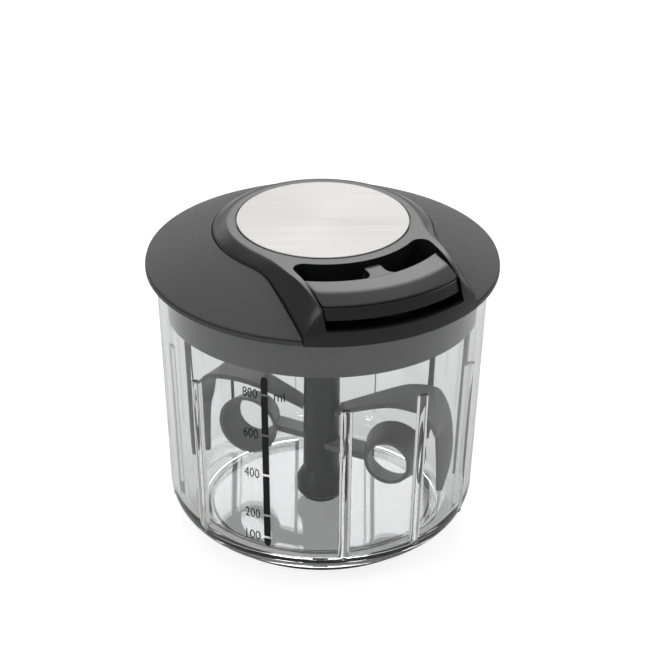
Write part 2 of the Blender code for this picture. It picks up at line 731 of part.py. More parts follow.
def keyhole_outline(ring, front, corner, half, lean, width):
    """Points (angle from the nose, radius) round the housing, clockwise from the nose."""
    step = corner / (FRONT_POINTS / 2)
    right = [(step * i, front) for i in range(FRONT_POINTS // 2 + 1)]
    turn = (math.pi - corner) / SIDE_POINTS
    angles = [corner + turn * i for i in range(1, SIDE_POINTS + 1)]
    right += [(a, side_radius(a, ring, half, lean, width)) for a in angles]
    left = [(-a, radius) for a, radius in reversed(right[1:-1])]
    return right + left


def foot_outline(grow=0.0, front=COVER_RADIUS):
    """Outline where the housing's side wall meets the cover."""
    half = NOSE_HALF_FOOT + grow
    corner = math.asin(half / front)
    return keyhole_outline(RING_FOOT_RADIUS + grow, front, corner, half, 0.0, NECK_BLEND_FOOT)


def top_outline():
    """Outline of the housing's upper outer edge."""
    corner = math.asin(NOSE_HALF_TOP / NOSE_TOP_REACH)
    half = NOSE_HALF_TOP + NOSE_TOP_LEAN * NOSE_TOP_REACH * math.cos(corner)
    return keyhole_outline(RING_TOP_RADIUS, NOSE_TOP_REACH, corner, half, NOSE_TOP_LEAN,
                           NECK_BLEND_TOP)


def nose_height(ahead):
    """Height of the housing's top at a distance ahead of the axis."""
    reach = NOSE_TOP_REACH * math.cos(math.asin(NOSE_HALF_TOP / NOSE_TOP_REACH))
    share = max(ahead - NOSE_DROP_START, 0.0) / (reach - NOSE_DROP_START)
    return HOUSING_TOP - NOSE_DROP * min(share, 1.0) ** NOSE_DROP_POWER


def ring_point(angle, radius, height):
    return (radius * math.sin(angle), -radius * math.cos(angle), height)


def housing_body(inset, low):
    """Rings of points of the housing's outside with the disc's seat, or of its inside."""
    foot = [(a, r - inset, cover_height(r)) for a, r in foot_outline()]
    fall = HOUSING_TOP - CEILING_Z if inset else 0.0
    edge = [(a, r - inset, nose_height(r * math.cos(a)) - fall) for a, r in top_outline()]
    inward, upward = FRONT_BREAK_SHARES
    bend = [(f[0] + (e[0] - f[0]) * inward, f[1] + (e[1] - f[1]) * inward,
             f[2] + (e[2] - f[2]) * upward) for f, e in zip(foot, edge)]
    core = DISC_SEAT_RADIUS - inset
    rings = [[(a, r, low) for a, r, _ in foot], foot, bend, edge]
    for share in reversed(NOSE_FLAT_SHARES):
        across = [(a, core + (r - core) * share) for a, r, _ in edge]
        rings.append([(a, r, nose_height(r * math.cos(a)) - fall) for a, r in across])
    rings.append([(a, core, HOUSING_TOP - fall) for a, _, _ in edge])
    if not inset:
        rings.append([(a, core, DISC_SEAT_Z) for a, _, _ in edge])
    return [[ring_point(*point) for point in ring] for ring in rings]


def recess_outline(back, half, corner, front):
    """Plan of the handle's recess: a back wall round the axis, and straight sides."""
    inner = back + corner
    centre_angle = math.asin((half - corner) / inner)
    centre = (inner * math.sin(centre_angle), inner * math.cos(centre_angle))
    steps = FRONT_POINTS // 2
    turns = [centre_angle * i / steps for i in range(steps + 1)]
    back_wall = [(back * math.sin(turn), back * math.cos(turn)) for turn in turns]
    start = -math.pi / 2 - centre_angle
    round_corner = arc(centre, corner, start, 0.0, CORNER_POINTS)[1:]
    end = math.asin(half / front)
    front_wall = [(front * math.sin(end * i / steps), front * math.cos(end * i / steps))
                  for i in range(steps, -1, -1)]
    right = back_wall + round_corner + front_wall
    left = [(-x, y) for x, y in reversed(right[1:-1])]
    return [(x, -y) for x, y in right + left]


def recess_mesh():
    """The handle's recess: closed in front up to the lip's top, and open above it."""
    closed = recess_outline(RECESS_BACK + RECESS_STEP, RECESS_HALF - RECESS_STEP,
                            RECESS_CORNER, LIP_INNER)
    opened = recess_outline(RECESS_BACK, RECESS_HALF, RECESS_CORNER, COVER_RADIUS + OVERRUN)
    levels = ((closed, RECESS_FLOOR), (closed, SLOT_Z), (opened, SLOT_Z),
              (opened, HOUSING_TOP + OVERRUN))
    return loft_mesh("recess", [[(x, y, z) for x, y in plan] for plan, z in levels])


def build_top_housing():
    outside = loft_mesh("top_housing", housing_body(0.0, COVER_RIM_LOW))
    housing = add_object("top_housing", outside, "housing_black", lid_axis)
    below = HOUSING_LOW_Z - OVERRUN
    inside = loft_mesh("housing_hollow", housing_body(HOUSING_WALL, COVER_RIM_LOW - OVERRUN))
    hollow = add_cutter("housing_hollow", inside, lid_axis)
    tray = recess_outline(RECESS_BACK - RECESS_WALL, RECESS_HALF + RECESS_WALL, RECESS_CORNER,
                          COVER_RADIUS + OVERRUN)
    tray_mesh = prism_mesh("tray", tray, below, HOUSING_TOP + OVERRUN)
    combine(hollow, add_cutter("tray", tray_mesh, lid_axis), "DIFFERENCE")
    boss = cylinder_mesh("boss", COLUMN_RADIUS, below - OVERRUN, HOUSING_TOP, SMALL_STEPS)
    combine(hollow, at_screws("bosses", boss), "DIFFERENCE")
    combine(housing, hollow, "DIFFERENCE")
    ledge = cylinder_mesh("ledge", COVER_RADIUS - COVER_RIM_WALL, COVER_RIM_LOW - OVERRUN,
                          HOUSING_LOW_Z, LARGE_STEPS)
    combine(housing, add_cutter("ledge", ledge, lid_axis), "DIFFERENCE")
    thread = AXLE_SCREW_RADIUS + GAP
    head = AXLE_SCREW_HEAD_RADIUS + GAP
    head_low = CEILING_Z + AXLE_SCREW_SEAT
    hole = stepped_mesh("axle_screw_hole", ((thread, CEILING_Z - OVERRUN), (thread, head_low),
                                            (head, head_low), (head, HOUSING_TOP)),
                        SMALL_STEPS)
    combine(housing, add_cutter("axle_screw_hole", hole, lid_axis), "DIFFERENCE")
    combine(housing, add_cutter("recess", recess_mesh(), lid_axis), "DIFFERENCE")
    guide_hole = cylinder_mesh("guide_hole", GUIDE_RADIUS + GAP, 0.0,
                               RECESS_CORNER + OVERRUN, SMALL_STEPS)
    guide_cutter = add_cutter("guide_hole", guide_hole, lid_axis)
    guide_cutter.matrix_local = ahead_matrix(CORD_ASIDE, GUIDE_BACK - OVERRUN, CORD_Z)
    combine(housing, guide_cutter, "DIFFERENCE")
    hole = cylinder_mesh("boss_hole", SCREW_RADIUS + GAP, below, SCREW_TOP + GAP, SMALL_STEPS)
    combine(housing, at_screws("boss_holes", hole), "DIFFERENCE")


def keyhole_cutter():
    """The housing's outline with a gap round it, as a body to cut the cover with."""
    points = [ring_point(a, r, 0.0) for a, r in foot_outline(GAP, COVER_RADIUS + OVERRUN)]
    outline = [(x, y) for x, y, _ in points]
    mesh = prism_mesh("keyhole", outline, COVER_RIM_LOW - OVERRUN, HOUSING_TOP + OVERRUN)
    return add_cutter("keyhole", mesh, lid_axis)


def build_steel_disc():
    low = DISC_SEAT_Z + GAP
    top = low + DISC_THICKNESS
    profile = [
        (0.0, top), (DISC_RADIUS - DISC_BEVEL, top), (DISC_RADIUS, top - DISC_BEVEL),
        (DISC_RADIUS, low), (0.0, low),
    ]
    turned("steel_disc", profile, "satin_steel", lid_axis, LARGE_STEPS)


def build_screw(name, place, radius, head_radius, low, head_top, top, parent, head_up=False):
    """A screw with a flat head; low and top are the ends of the whole screw."""
    if head_up:
        profile = [(0.0, top), (head_radius, top), (head_radius, head_top),
                   (radius, head_top), (radius, low), (0.0, low)]
    else:
        profile = [(0.0, top), (radius, top), (radius, head_top),
                   (head_radius, head_top), (head_radius, low), (0.0, low)]
    screw = turned(name, profile, "satin_steel", parent, SMALL_STEPS)
    screw.location = place


def build_housing_screws():
    low = LID_FLOOR_Z + SCREW_SUNK
    for number, angle in enumerate(SCREW_ANGLES, 1):
        build_screw(f"housing_screw_{number}", column_place(angle), SCREW_RADIUS,
                    SCREW_HEAD_RADIUS, low, low + SCREW_HEAD, SCREW_TOP, lid_axis)


def build_axle():
    """Axle of the spool: its thick upper part is the arbor of the recoil spring."""
    top = CEILING_Z - GAP
    shoulder = SPOOL_LOW + SPOOL_HUB_PLATE + GAP
    groove = AXLE_RADIUS - CLIP_GROOVE
    clip_top = CLIP_Z + CLIP_THICKNESS
    hole = AXLE_SCREW_RADIUS + GAP
    hole_low = top - AXLE_SCREW_LENGTH
    profile = [
        (0.0, hole_low), (hole, hole_low), (hole, top), (ARBOR_RADIUS, top),
        (ARBOR_RADIUS, shoulder), (AXLE_RADIUS, shoulder), (AXLE_RADIUS, clip_top + GAP),
        (groove, clip_top + GAP), (groove, CLIP_Z - GAP), (AXLE_RADIUS, CLIP_Z - GAP),
        (AXLE_RADIUS, AXLE_LOW), (0.0, AXLE_LOW),
    ]
    turned("spool_axle", profile, "satin_steel", lid_axis, SMALL_STEPS)
    bore = AXLE_RADIUS - CLIP_GROOVE + GAP
    ring = [(CLIP_RADIUS, clip_top), (CLIP_RADIUS, CLIP_Z), (bore, CLIP_Z), (bore, clip_top)]
    turned("spool_clip", ring, "spring_steel", lid_axis, SMALL_STEPS)
    seat = CEILING_Z + AXLE_SCREW_SEAT + GAP
    build_screw("axle_screw", (0.0, 0.0, 0.0), AXLE_SCREW_RADIUS, AXLE_SCREW_HEAD_RADIUS,
                hole_low + GAP, seat, seat + AXLE_SCREW_HEAD, lid_axis, head_up=True)


def build_cord_guide():
    """Eyelet in the recess's back wall, with its flange on the handle's side."""
    wall = math.sqrt(RECESS_BACK ** 2 - CORD_ASIDE ** 2) - GUIDE_BACK + GAP
    length = wall + GUIDE_FLANGE
    profile = [
        (GUIDE_BORE, length), (GUIDE_FLANGE_RADIUS, length), (GUIDE_FLANGE_RADIUS, wall),
        (GUIDE_RADIUS, wall), (GUIDE_RADIUS, 0.0), (GUIDE_BORE, 0.0),
    ]
    guide = turned("cord_guide", profile, "satin_steel", lid_axis, SMALL_STEPS)
    guide.matrix_local = ahead_matrix(CORD_ASIDE, GUIDE_BACK, CORD_Z)


def build_coupling_bush():
    inner = COUPLING_TUBE + RUNNING_GAP
    outer = BEARING_RADIUS - GAP
    flange_z = BEARING_TOP + GAP
    profile = [
        (inner, flange_z + BUSH_FLANGE), (BUSH_FLANGE_RADIUS, flange_z + BUSH_FLANGE),
        (BUSH_FLANGE_RADIUS, flange_z), (outer, flange_z), (outer, COUPLING_LOW),
        (inner, COUPLING_LOW),
    ]
    turned("coupling_bush", profile, "white_plastic", lid_axis, MEDIUM_STEPS)


def build_drive_coupling():
    """Cup with clutch teeth inside, on a tube with a six-sided socket for the shaft."""
    profile = [
        (0.0, COUPLING_TOP), (COUPLING_RADIUS, COUPLING_TOP),
        (COUPLING_RADIUS, COUPLING_DISC_Z), (COUPLING_TUBE, COUPLING_DISC_Z),
        (COUPLING_TUBE, COUPLING_LOW), (0.0, COUPLING_LOW),
    ]
    coupling = turned("drive_coupling", profile, "white_plastic", lid_axis, MEDIUM_STEPS)
    socket = cylinder_mesh("socket", HEX_CORNER + RUNNING_GAP, COUPLING_LOW - OVERRUN,
                           SOCKET_TOP, HEX_SIDES)
    body = add_cutter("socket", socket, lid_axis)
    body.rotation_euler.z = -LID_TURN
    combine(coupling, body, "DIFFERENCE")
    radii = (TOOTH_ROOT_RADIUS, TOOTH_ROOT_RADIUS - TOOTH_DEPTH)
    outline = []
    for tooth in range(TOOTH_COUNT):
        for share, radius in zip(TOOTH_SHARES, radii):
            angle = 2 * math.pi * (tooth + share) / TOOTH_COUNT
            outline.append((radius * math.cos(angle), radius * math.sin(angle)))
    teeth = prism_mesh("teeth", outline, COUPLING_DISC_Z + COUPLING_DISC,
                       COUPLING_TOP + OVERRUN)
    combine(coupling, add_cutter("teeth", teeth, lid_axis), "DIFFERENCE")


def build_cord_spool():
    """Spool with a well in its middle for the recoil spring."""
    bore = AXLE_RADIUS + RUNNING_GAP
    drum = CORD_WOUND_RADIUS - WINDING_THICKNESS / 2 - GAP
    well = drum - SPOOL_DRUM_WALL
    well_floor = SPOOL_LOW + SPOOL_HUB_PLATE
    low_flange = SPOOL_LOW + SPOOL_FLANGE
    high_flange = SPOOL_TOP - SPOOL_FLANGE
    profile = [
        (well, SPOOL_TOP), (SPOOL_FLANGE_RADIUS, SPOOL_TOP),
        (SPOOL_FLANGE_RADIUS, high_flange), (drum, high_flange), (drum, low_flange),
        (SPOOL_FLANGE_RADIUS, low_flange), (SPOOL_FLANGE_RADIUS, SPOOL_LOW),
        (SPOOL_HUB_RADIUS, SPOOL_LOW), (SPOOL_HUB_RADIUS, SPOOL_HUB_LOW),
        (bore, SPOOL_HUB_LOW), (bore, well_floor), (well, well_floor),
    ]
    turned("cord_spool", profile, "white_plastic", lid_axis, MEDIUM_STEPS)
    inner = CORD_WOUND_RADIUS - WINDING_THICKNESS / 2
    outer = CORD_WOUND_RADIUS + WINDING_THICKNESS / 2
    low = CORD_Z - WINDING_HEIGHT / 2
    top = min(CORD_Z + WINDING_HEIGHT / 2, high_flange - GAP)
    wound = [(outer, top), (outer, low), (inner, low), (inner, top)]
    turned("cord_winding", wound, "cord_black", lid_axis, MEDIUM_STEPS)


def build_recoil_spring():
    """Flat spiral spring, one unbroken strip from the arbor to the spool's well."""
    well = CORD_WOUND_RADIUS - WINDING_THICKNESS / 2 - GAP - SPOOL_DRUM_WALL
    start = ARBOR_RADIUS + GAP + SPRING_STRIP / 2
    end = well - GAP - SPRING_STRIP / 2
    low = SPOOL_LOW + SPOOL_HUB_PLATE + RUNNING_GAP + GAP
    count = SPRING_TURNS * SPRING_STEPS
    rings = []
    for i in range(count + 1):
        angle = 2 * math.pi * i / SPRING_STEPS
        radius = start + (end - start) * i / count
        sides = ((radius - SPRING_STRIP / 2, low), (radius + SPRING_STRIP / 2, low),
                 (radius + SPRING_STRIP / 2, low + SPRING_HEIGHT),
                 (radius - SPRING_STRIP / 2, low + SPRING_HEIGHT))
        rings.append([(r * math.cos(angle), r * math.sin(angle), z) for r, z in sides])
    add_object("recoil_spring", loft_mesh("recoil_spring", rings), "spring_steel", lid_axis)
    gap = (end - start) / SPRING_TURNS - SPRING_STRIP
    print(f"recoil spring: least gap between turns {gap / MM:.2f} mm")


def build_clutch_plate():
    """Ring with springy fingers whose tips rest behind the coupling's teeth."""
    bore = SPOOL_HUB_RADIUS + GAP
    low = SPOOL_HUB_LOW
    top = SPOOL_LOW - GAP
    ring = [(CLUTCH_RING_RADIUS, top), (CLUTCH_RING_RADIUS, low), (bore, low), (bore, top)]
    plate = turned("clutch_plate", ring, "white_plastic", lid_axis, MEDIUM_STEPS)
    root = CLUTCH_RING_RADIUS - FINGER_WIDTH / 2
    tip = TOOTH_ROOT_RADIUS - TOOTH_DEPTH - FINGER_WIDTH / 2 - GAP
    for finger in range(FINGER_COUNT):
        start = 2 * math.pi * finger / FINGER_COUNT
        rings = []
        for i in range(FINGER_STEPS + 1):
            share = i / FINGER_STEPS
            angle = start + FINGER_SWEEP * share
            radius = root + (tip - root) * share
            inner = radius - FINGER_WIDTH / 2
            outer = radius + FINGER_WIDTH / 2
            sides = ((inner, low + GAP), (outer, low + GAP), (outer, top - GAP),
                     (inner, top - GAP))
            rings.append([(r * math.cos(angle), r * math.sin(angle), z) for r, z in sides])
        body = add_cutter(f"finger_{finger + 1}", loft_mesh("finger", rings), lid_axis)
        combine(plate, body, "UNION")


def bar_mesh(name, profile):
    """The handle's bar: a profile carried round the axis, with ends square to the pull."""
    rings = []
    for i in range(HANDLE_POINTS):
        aside = HANDLE_HALF * (2 * i / (HANDLE_POINTS - 1) - 1)
        rings.append([(aside, -math.sqrt(radius ** 2 - aside ** 2), height)
                      for radius, height in profile])
    return loft_mesh(name, rings)


def stem_outline():
    """Plan of the stem, flared where it meets the bar."""
    back = RECESS_BACK + GAP + GUIDE_FLANGE + GAP
    flare = arc((STEM_HALF + STEM_FLARE, HANDLE_BACK - STEM_FLARE), STEM_FLARE, math.pi,
                math.pi / 2, STEM_POINTS)
    right = [(STEM_HALF, back)] + flare
    right += [(STEM_HALF + STEM_FLARE, HANDLE_BACK + STEM_DEPTH)]
    left = [(-x, y) for x, y in reversed(right)]
    return [(x + CORD_ASIDE, -y) for x, y in right + left]


def build_handle():
    depth = HANDLE_FRONT - HANDLE_BACK
    face = HANDLE_BACK + depth * HANDLE_FACE_SHARE
    split_high = HANDLE_SPLIT + GAP / 2
    split_low = HANDLE_SPLIT - GAP / 2
    upper = [
        (HANDLE_BACK, split_high), (HANDLE_BACK, HANDLE_TOP - HANDLE_EDGE),
        (HANDLE_BACK + HANDLE_EDGE, HANDLE_TOP), (face, HANDLE_TOP - HANDLE_FACE_FALL),
        (HANDLE_CREASE - HANDLE_EDGE / 2, split_high + HANDLE_EDGE / 2),
        (HANDLE_CREASE, split_high),
    ]
    lower = [
        (HANDLE_BACK, split_low), (HANDLE_CREASE, split_low),
        (HANDLE_FRONT, HANDLE_LOW + HANDLE_EDGE), (HANDLE_FRONT - HANDLE_EDGE, HANDLE_LOW),
        (HANDLE_BACK + HANDLE_EDGE, HANDLE_LOW), (HANDLE_BACK, HANDLE_LOW + HANDLE_EDGE),
    ]
    stem = stem_outline()
    shells = []
    for name, profile, low, high in (
            ("handle_upper_shell", upper, split_high, HANDLE_TOP - HANDLE_EDGE / 2),
            ("handle_lower_shell", lower, HANDLE_LOW + HANDLE_EDGE, split_low)):
        shell = add_object(name, bar_mesh(name, profile), "housing_black", lid_axis)
        body = prism_mesh(name + "_stem", stem, low, high)
        combine(shell, add_cutter(name + "_stem", body, lid_axis), "UNION")
        shells.append(shell)
    cuts = []
    bore = cylinder_mesh("handle_bore", BORE_RADIUS, 0.0, KNOT_AHEAD - RECESS_BACK,
                         SMALL_STEPS)
    cuts.append(add_cutter("handle_bore", bore, lid_axis))
    cuts[0].matrix_local = ahead_matrix(CORD_ASIDE, RECESS_BACK, CORD_Z)
    pocket = KNOT_RADIUS + GAP
    room = cylinder_mesh("knot_room", pocket, CORD_Z - pocket, HANDLE_SPLIT + GAP,
                         SMALL_STEPS)
    cuts.append(add_cutter("knot_room", room, lid_axis))
    cuts[1].location = (CORD_ASIDE, -KNOT_AHEAD, 0.0)
    ahead = math.sqrt(GRIP_SCREW_CIRCLE ** 2 - GRIP_SCREW_ASIDE ** 2)
    head_top = HANDLE_LOW + GRIP_SCREW_HEAD + GAP
    for side, name in ((-1, "left"), (1, "right")):
        place = (side * GRIP_SCREW_ASIDE, -ahead, 0.0)
        hole = cylinder_mesh("grip_hole", GRIP_SCREW_RADIUS + GAP, HANDLE_LOW - OVERRUN,
                             GRIP_SCREW_TOP + GAP, SMALL_STEPS)
        head = cylinder_mesh("grip_head", GRIP_SCREW_HEAD_RADIUS + GAP,
                             HANDLE_LOW - OVERRUN, head_top + GAP, SMALL_STEPS)
        for kind, mesh in (("grip_hole", hole), ("grip_head", head)):
            body = add_cutter(f"{kind}_{name}", mesh, lid_axis)
            body.location = place
            cuts.append(body)
        build_screw(f"handle_screw_{name}", place, GRIP_SCREW_RADIUS,
                    GRIP_SCREW_HEAD_RADIUS, HANDLE_LOW + GAP, head_top, GRIP_SCREW_TOP,
                    lid_axis)
    for shell in shells:
        for cutter in cuts:
            if shell.name.startswith("handle_upper") and cutter.name.startswith("grip_head"):
                continue
            combine(shell, cutter, "DIFFERENCE")


def build_cord():
    """Cord from the winding through the guide to the knot in the handle."""
    guide = Vector((CORD_ASIDE, -GUIDE_BACK, CORD_Z))
    distance = math.hypot(guide.x, guide.y)
    bearing = math.atan2(guide.x, -guide.y)
    leave = bearing - math.acos(CORD_WOUND_RADIUS / distance)
    tangent = Vector(ring_point(leave, CORD_WOUND_RADIUS, CORD_Z))
    run = guide - tangent
    start = tangent + run.normalized() * CORD_START
    near, close = (tangent + run * share for share in CORD_BEND_SHARES)
    close.x = CORD_ASIDE
    end = Vector((CORD_ASIDE, -(KNOT_AHEAD - KNOT_RADIUS - GAP), CORD_Z))
    route = [start, (start + near) / 2, near, close, (close + end) / 2, end]
    last = len(route) - 1
    points = [curve_point(route, last * i / CORD_STEPS) for i in range(CORD_STEPS + 1)]
    curve = bpy.data.curves.new("pull_cord", "CURVE")
    curve.dimensions = "3D"
    curve.bevel_depth = CORD_RADIUS
    curve.bevel_resolution = CORD_PROFILE_STEPS
    curve.use_fill_caps = True
    spline = curve.splines.new("POLY")
    spline.points.add(len(points) - 1)
    for control, point in zip(spline.points, points):
        control.co = (*point, 1.0)
    curve.materials.append(material("cord_black"))
    cord = bpy.data.objects.new("pull_cord", curve)
    parts.objects.link(cord)
    cord.parent = lid_axis
    bm = bmesh.new()
    bmesh.ops.create_uvsphere(bm, u_segments=SMALL_STEPS, v_segments=KNOT_ROWS,
                              radius=KNOT_RADIUS)
    knot = add_object("cord_knot", finish_mesh("cord_knot", bm), "cord_black", lid_axis)
    knot.location = (CORD_ASIDE, -KNOT_AHEAD, CORD_Z)


def new_axis(name, turn):
    axis = bpy.data.objects.new(name, None)
    parts.objects.link(axis)
    axis.rotation_euler.z = turn
    return axis


clear_scene()
parts = new_collection("food_chopper")
cutters = new_collection("cutters")
jar_axis = new_axis("jar_axis", 0.0)
mixer_axis = new_axis("mixer_axis", 0.0)
lid_axis = new_axis("lid_axis", LID_TURN)

build_jar()
build_anti_slip_ring()
build_pivot_pin()
build_mixer_shaft()
shaft_room = cylinder_mesh("shaft_room", SHAFT_RADIUS + GAP, 0.0, JAR_HEIGHT, MEDIUM_STEPS)
shaft_room_cutter = add_cutter("shaft_room", shaft_room, mixer_axis)
build_wings(shaft_room_cutter)
build_scoops(shaft_room_cutter)
build_lid_base()
build_seal_ring()
build_lid_cover(keyhole_cutter())
build_top_housing()
build_steel_disc()
build_housing_screws()
build_axle()
build_cord_guide()
build_coupling_bush()
build_drive_coupling()
build_cord_spool()
build_recoil_spring()
build_clutch_plate()
build_handle()
build_cord()
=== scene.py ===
# %% [markdown]
# # A food chopper that is worked with a pull cord
# The imported CAD model is the frame of this scene: it says where each piece is and what
# it moves with. Here the pieces that show get their fine shapes and finishes.
# We start by loading that frame.

import math

import bmesh
import bpy
from mathutils import Matrix, Vector


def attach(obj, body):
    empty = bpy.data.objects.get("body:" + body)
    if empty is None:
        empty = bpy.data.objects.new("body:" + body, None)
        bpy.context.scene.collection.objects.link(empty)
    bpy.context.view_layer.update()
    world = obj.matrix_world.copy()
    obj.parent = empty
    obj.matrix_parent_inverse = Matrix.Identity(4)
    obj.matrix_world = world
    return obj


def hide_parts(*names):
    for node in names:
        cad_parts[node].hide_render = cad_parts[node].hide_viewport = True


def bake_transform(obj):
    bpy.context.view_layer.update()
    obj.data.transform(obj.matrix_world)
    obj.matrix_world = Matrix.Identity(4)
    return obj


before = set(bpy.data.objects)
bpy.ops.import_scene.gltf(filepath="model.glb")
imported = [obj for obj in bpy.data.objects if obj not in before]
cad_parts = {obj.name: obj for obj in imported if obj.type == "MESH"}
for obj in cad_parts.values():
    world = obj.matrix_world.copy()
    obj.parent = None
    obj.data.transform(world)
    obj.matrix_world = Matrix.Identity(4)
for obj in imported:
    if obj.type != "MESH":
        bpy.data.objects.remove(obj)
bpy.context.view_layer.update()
scene = bpy.context.scene
MM = 0.001
UP = Vector((0, 0, 1))

# %% [markdown]
# ## The camera
# The photograph looks down at the chopper from the front with a long lens. The camera
# was fitted to the ellipses of the lid and the jar, so it is placed by those numbers:
# a distance, a height angle, and three small turns that aim it.

# %% Place the camera
AIM = Vector((0, 0, 66.7 * MM))
DISTANCE = 1144 * MM
HEIGHT_ANGLE = math.radians(28.75)
TILT, PAN, ROLL = (math.radians(value) for value in (-0.74, 0.058, 0.486))
LENS, FILM_WIDTH, SIGHT = 160.6, 36, 20

forward = Vector((math.sin(PAN), math.cos(HEIGHT_ANGLE + TILT) * math.cos(PAN),
                  -math.sin(HEIGHT_ANGLE + TILT) * math.cos(PAN))).normalized()
right = forward.cross(UP).normalized()
above = right.cross(forward)
right, above = (right * math.cos(ROLL) + above * math.sin(ROLL),
                above * math.cos(ROLL) - right * math.sin(ROLL))
spot = AIM + DISTANCE * Vector((0, -math.cos(HEIGHT_ANGLE), math.sin(HEIGHT_ANGLE)))

camera_data = bpy.data.cameras.new("camera")
camera_data.sensor_width = FILM_WIDTH
camera_data.lens = LENS
camera_data.clip_end = SIGHT
camera = bpy.data.objects.new("camera", camera_data)
scene.collection.objects.link(camera)
turn = Matrix((right, above, -forward)).transposed().to_4x4()
camera.matrix_world = Matrix.Translation(spot) @ turn
scene.camera = camera
print("camera at", [round(value, 3) for value in spot])

# %% [markdown]
# ## Helpers for materials
# Every finish here is a Principled shader with a little variation, as real plastic and
# steel have. One helper makes the shader, and two let its roughness or its colour vary.
# Another adds a moulded grain as bump and lets edges catch the light as if rounded.

# %% Material helpers
NOISE_LOW, NOISE_HIGH = 0.3, 0.7      # most of Blender's noise lies between these
FINE_SCALE, FINE_DEPTH = 3500, 0.000003


def new_finish(name, colour, roughness, metallic=0.0, gloss=0.5):
    """A Principled material; the first value returned is the material."""
    material = bpy.data.materials.new(name)
    material.use_nodes = True
    shader = material.node_tree.nodes["Principled BSDF"]
    shader.inputs["Base Color"].default_value = (*colour, 1)
    shader.inputs["Roughness"].default_value = roughness
    shader.inputs["Metallic"].default_value = metallic
    shader.inputs["Specular IOR Level"].default_value = gloss
    material.diffuse_color = (*colour, 1)
    return material, shader


def add_node(owner, kind, **settings):
    """A new node in the tree of a material or the world."""
    node = owner.node_tree.nodes.new(kind)
    for name, value in settings.items():
        setattr(node, name, value)
    return node


def object_noise(material, scale, stretch=(1, 1, 1), detail=3.0):
    """Noise that is fixed to the piece; a larger stretch packs it more tightly."""
    links = material.node_tree.links
    place = add_node(material, "ShaderNodeTexCoord")
    mapping = add_node(material, "ShaderNodeMapping")
    mapping.inputs["Scale"].default_value = stretch
    noise = add_node(material, "ShaderNodeTexNoise")
    noise.inputs["Scale"].default_value = scale
    noise.inputs["Detail"].default_value = detail
    links.new(place.outputs["Object"], mapping.inputs["Vector"])
    links.new(mapping.outputs["Vector"], noise.inputs["Vector"])
    return noise


def vary(material, shader, socket, noise, low, high):
    """Lets a value run between low and high with the noise."""
    spread = add_node(material, "ShaderNodeMapRange")
    spread.inputs["From Min"].default_value = NOISE_LOW
    spread.inputs["From Max"].default_value = NOISE_HIGH
    spread.inputs["To Min"].default_value = low
    spread.inputs["To Max"].default_value = high
    material.node_tree.links.new(noise.outputs["Fac"], spread.inputs["Value"])
    material.node_tree.links.new(spread.outputs["Result"], shader.inputs[socket])


def tint(material, shader, noise, dark, light):
    """Lets the colour run between two tones with the noise."""
    ramp = add_node(material, "ShaderNodeValToRGB")
    ramp.color_ramp.elements[0].position = NOISE_LOW
    ramp.color_ramp.elements[0].color = (*dark, 1)
    ramp.color_ramp.elements[1].position = NOISE_HIGH
    ramp.color_ramp.elements[1].color = (*light, 1)
    material.node_tree.links.new(noise.outputs["Fac"], ramp.inputs["Fac"])
    material.node_tree.links.new(ramp.outputs["Color"], shader.inputs["Base Color"])


def surface(material, shader, grain, depth, edge=0.0):
    """Bump from the grain, over edges that shade as if rounded by a small radius."""
    links = material.node_tree.links
    bump = add_node(material, "ShaderNodeBump")
    bump.inputs["Distance"].default_value = depth
    bump.inputs["Strength"].default_value = 1.0
    links.new(grain.outputs["Fac"], bump.inputs["Height"])
    if edge:
        bevel = add_node(material, "ShaderNodeBevel", samples=6)
        bevel.inputs["Radius"].default_value = edge
        links.new(bevel.outputs["Normal"], bump.inputs["Normal"])
    links.new(bump.outputs["Normal"], shader.inputs["Normal"])


def fine_surface(material, shader, edge):
    """The faint grain of smooth moulded plastic."""
    grain = object_noise(material, FINE_SCALE, detail=1.0)
    surface(material, shader, grain, FINE_DEPTH, edge)


# %% [markdown]
# ## The finishes
# The jar is clear plastic. The lid's cover is black plastic with a fine grain, and the
# housing and the handle have a satin finish that turns pale where it mirrors a lamp.
# The insert is plain grey plastic on a black shaft.

# %% Clear plastic
clear, shader = new_finish("clear jar plastic", (0.945, 0.948, 0.95), 0.02)
shader.inputs["Transmission Weight"].default_value = 1.0
shader.inputs["IOR"].default_value = 1.49
ripple = object_noise(clear, 45, detail=1.0)
surface(clear, shader, ripple, 0.00002)
print("clear plastic:", len(clear.node_tree.nodes), "nodes")

# %% Black plastics
cover_black, shader = new_finish("cover black", (0.045, 0.045, 0.046), 0.5, gloss=0.4)
vary(cover_black, shader, "Roughness", object_noise(cover_black, 900), 0.46, 0.58)
surface(cover_black, shader, object_noise(cover_black, 2600, detail=2.0), 0.00003, 0.0004)

satin_finishes = []
for name, edge in (("satin housing", 0.0003), ("satin handle", 0.0006)):
    satin, shader = new_finish(name, (0.01, 0.01, 0.011), 0.3, gloss=0.36)
    vary(satin, shader, "Roughness", object_noise(satin, 900), 0.29, 0.31)
    fine_surface(satin, shader, edge)
    satin_finishes.append(satin)
satin_housing, satin_handle = satin_finishes

shaft_black, shader = new_finish("shaft black", (0.014, 0.014, 0.015), 0.35, gloss=0.3)
vary(shaft_black, shader, "Roughness", object_noise(shaft_black, 60), 0.3, 0.42)
surface(shaft_black, shader, object_noise(shaft_black, 900, detail=1.0), 0.000002)
print("black plastics:", [m.name for m in (cover_black, satin_housing, satin_handle, shaft_black)])

# %% Grey plastics
insert_grey, shader = new_finish("insert grey", (0.16, 0.16, 0.165), 0.4, gloss=0.4)
tint(insert_grey, shader, object_noise(insert_grey, 30), (0.15, 0.15, 0.155),
     (0.17, 0.17, 0.175))
fine_surface(insert_grey, shader, 0.0005)

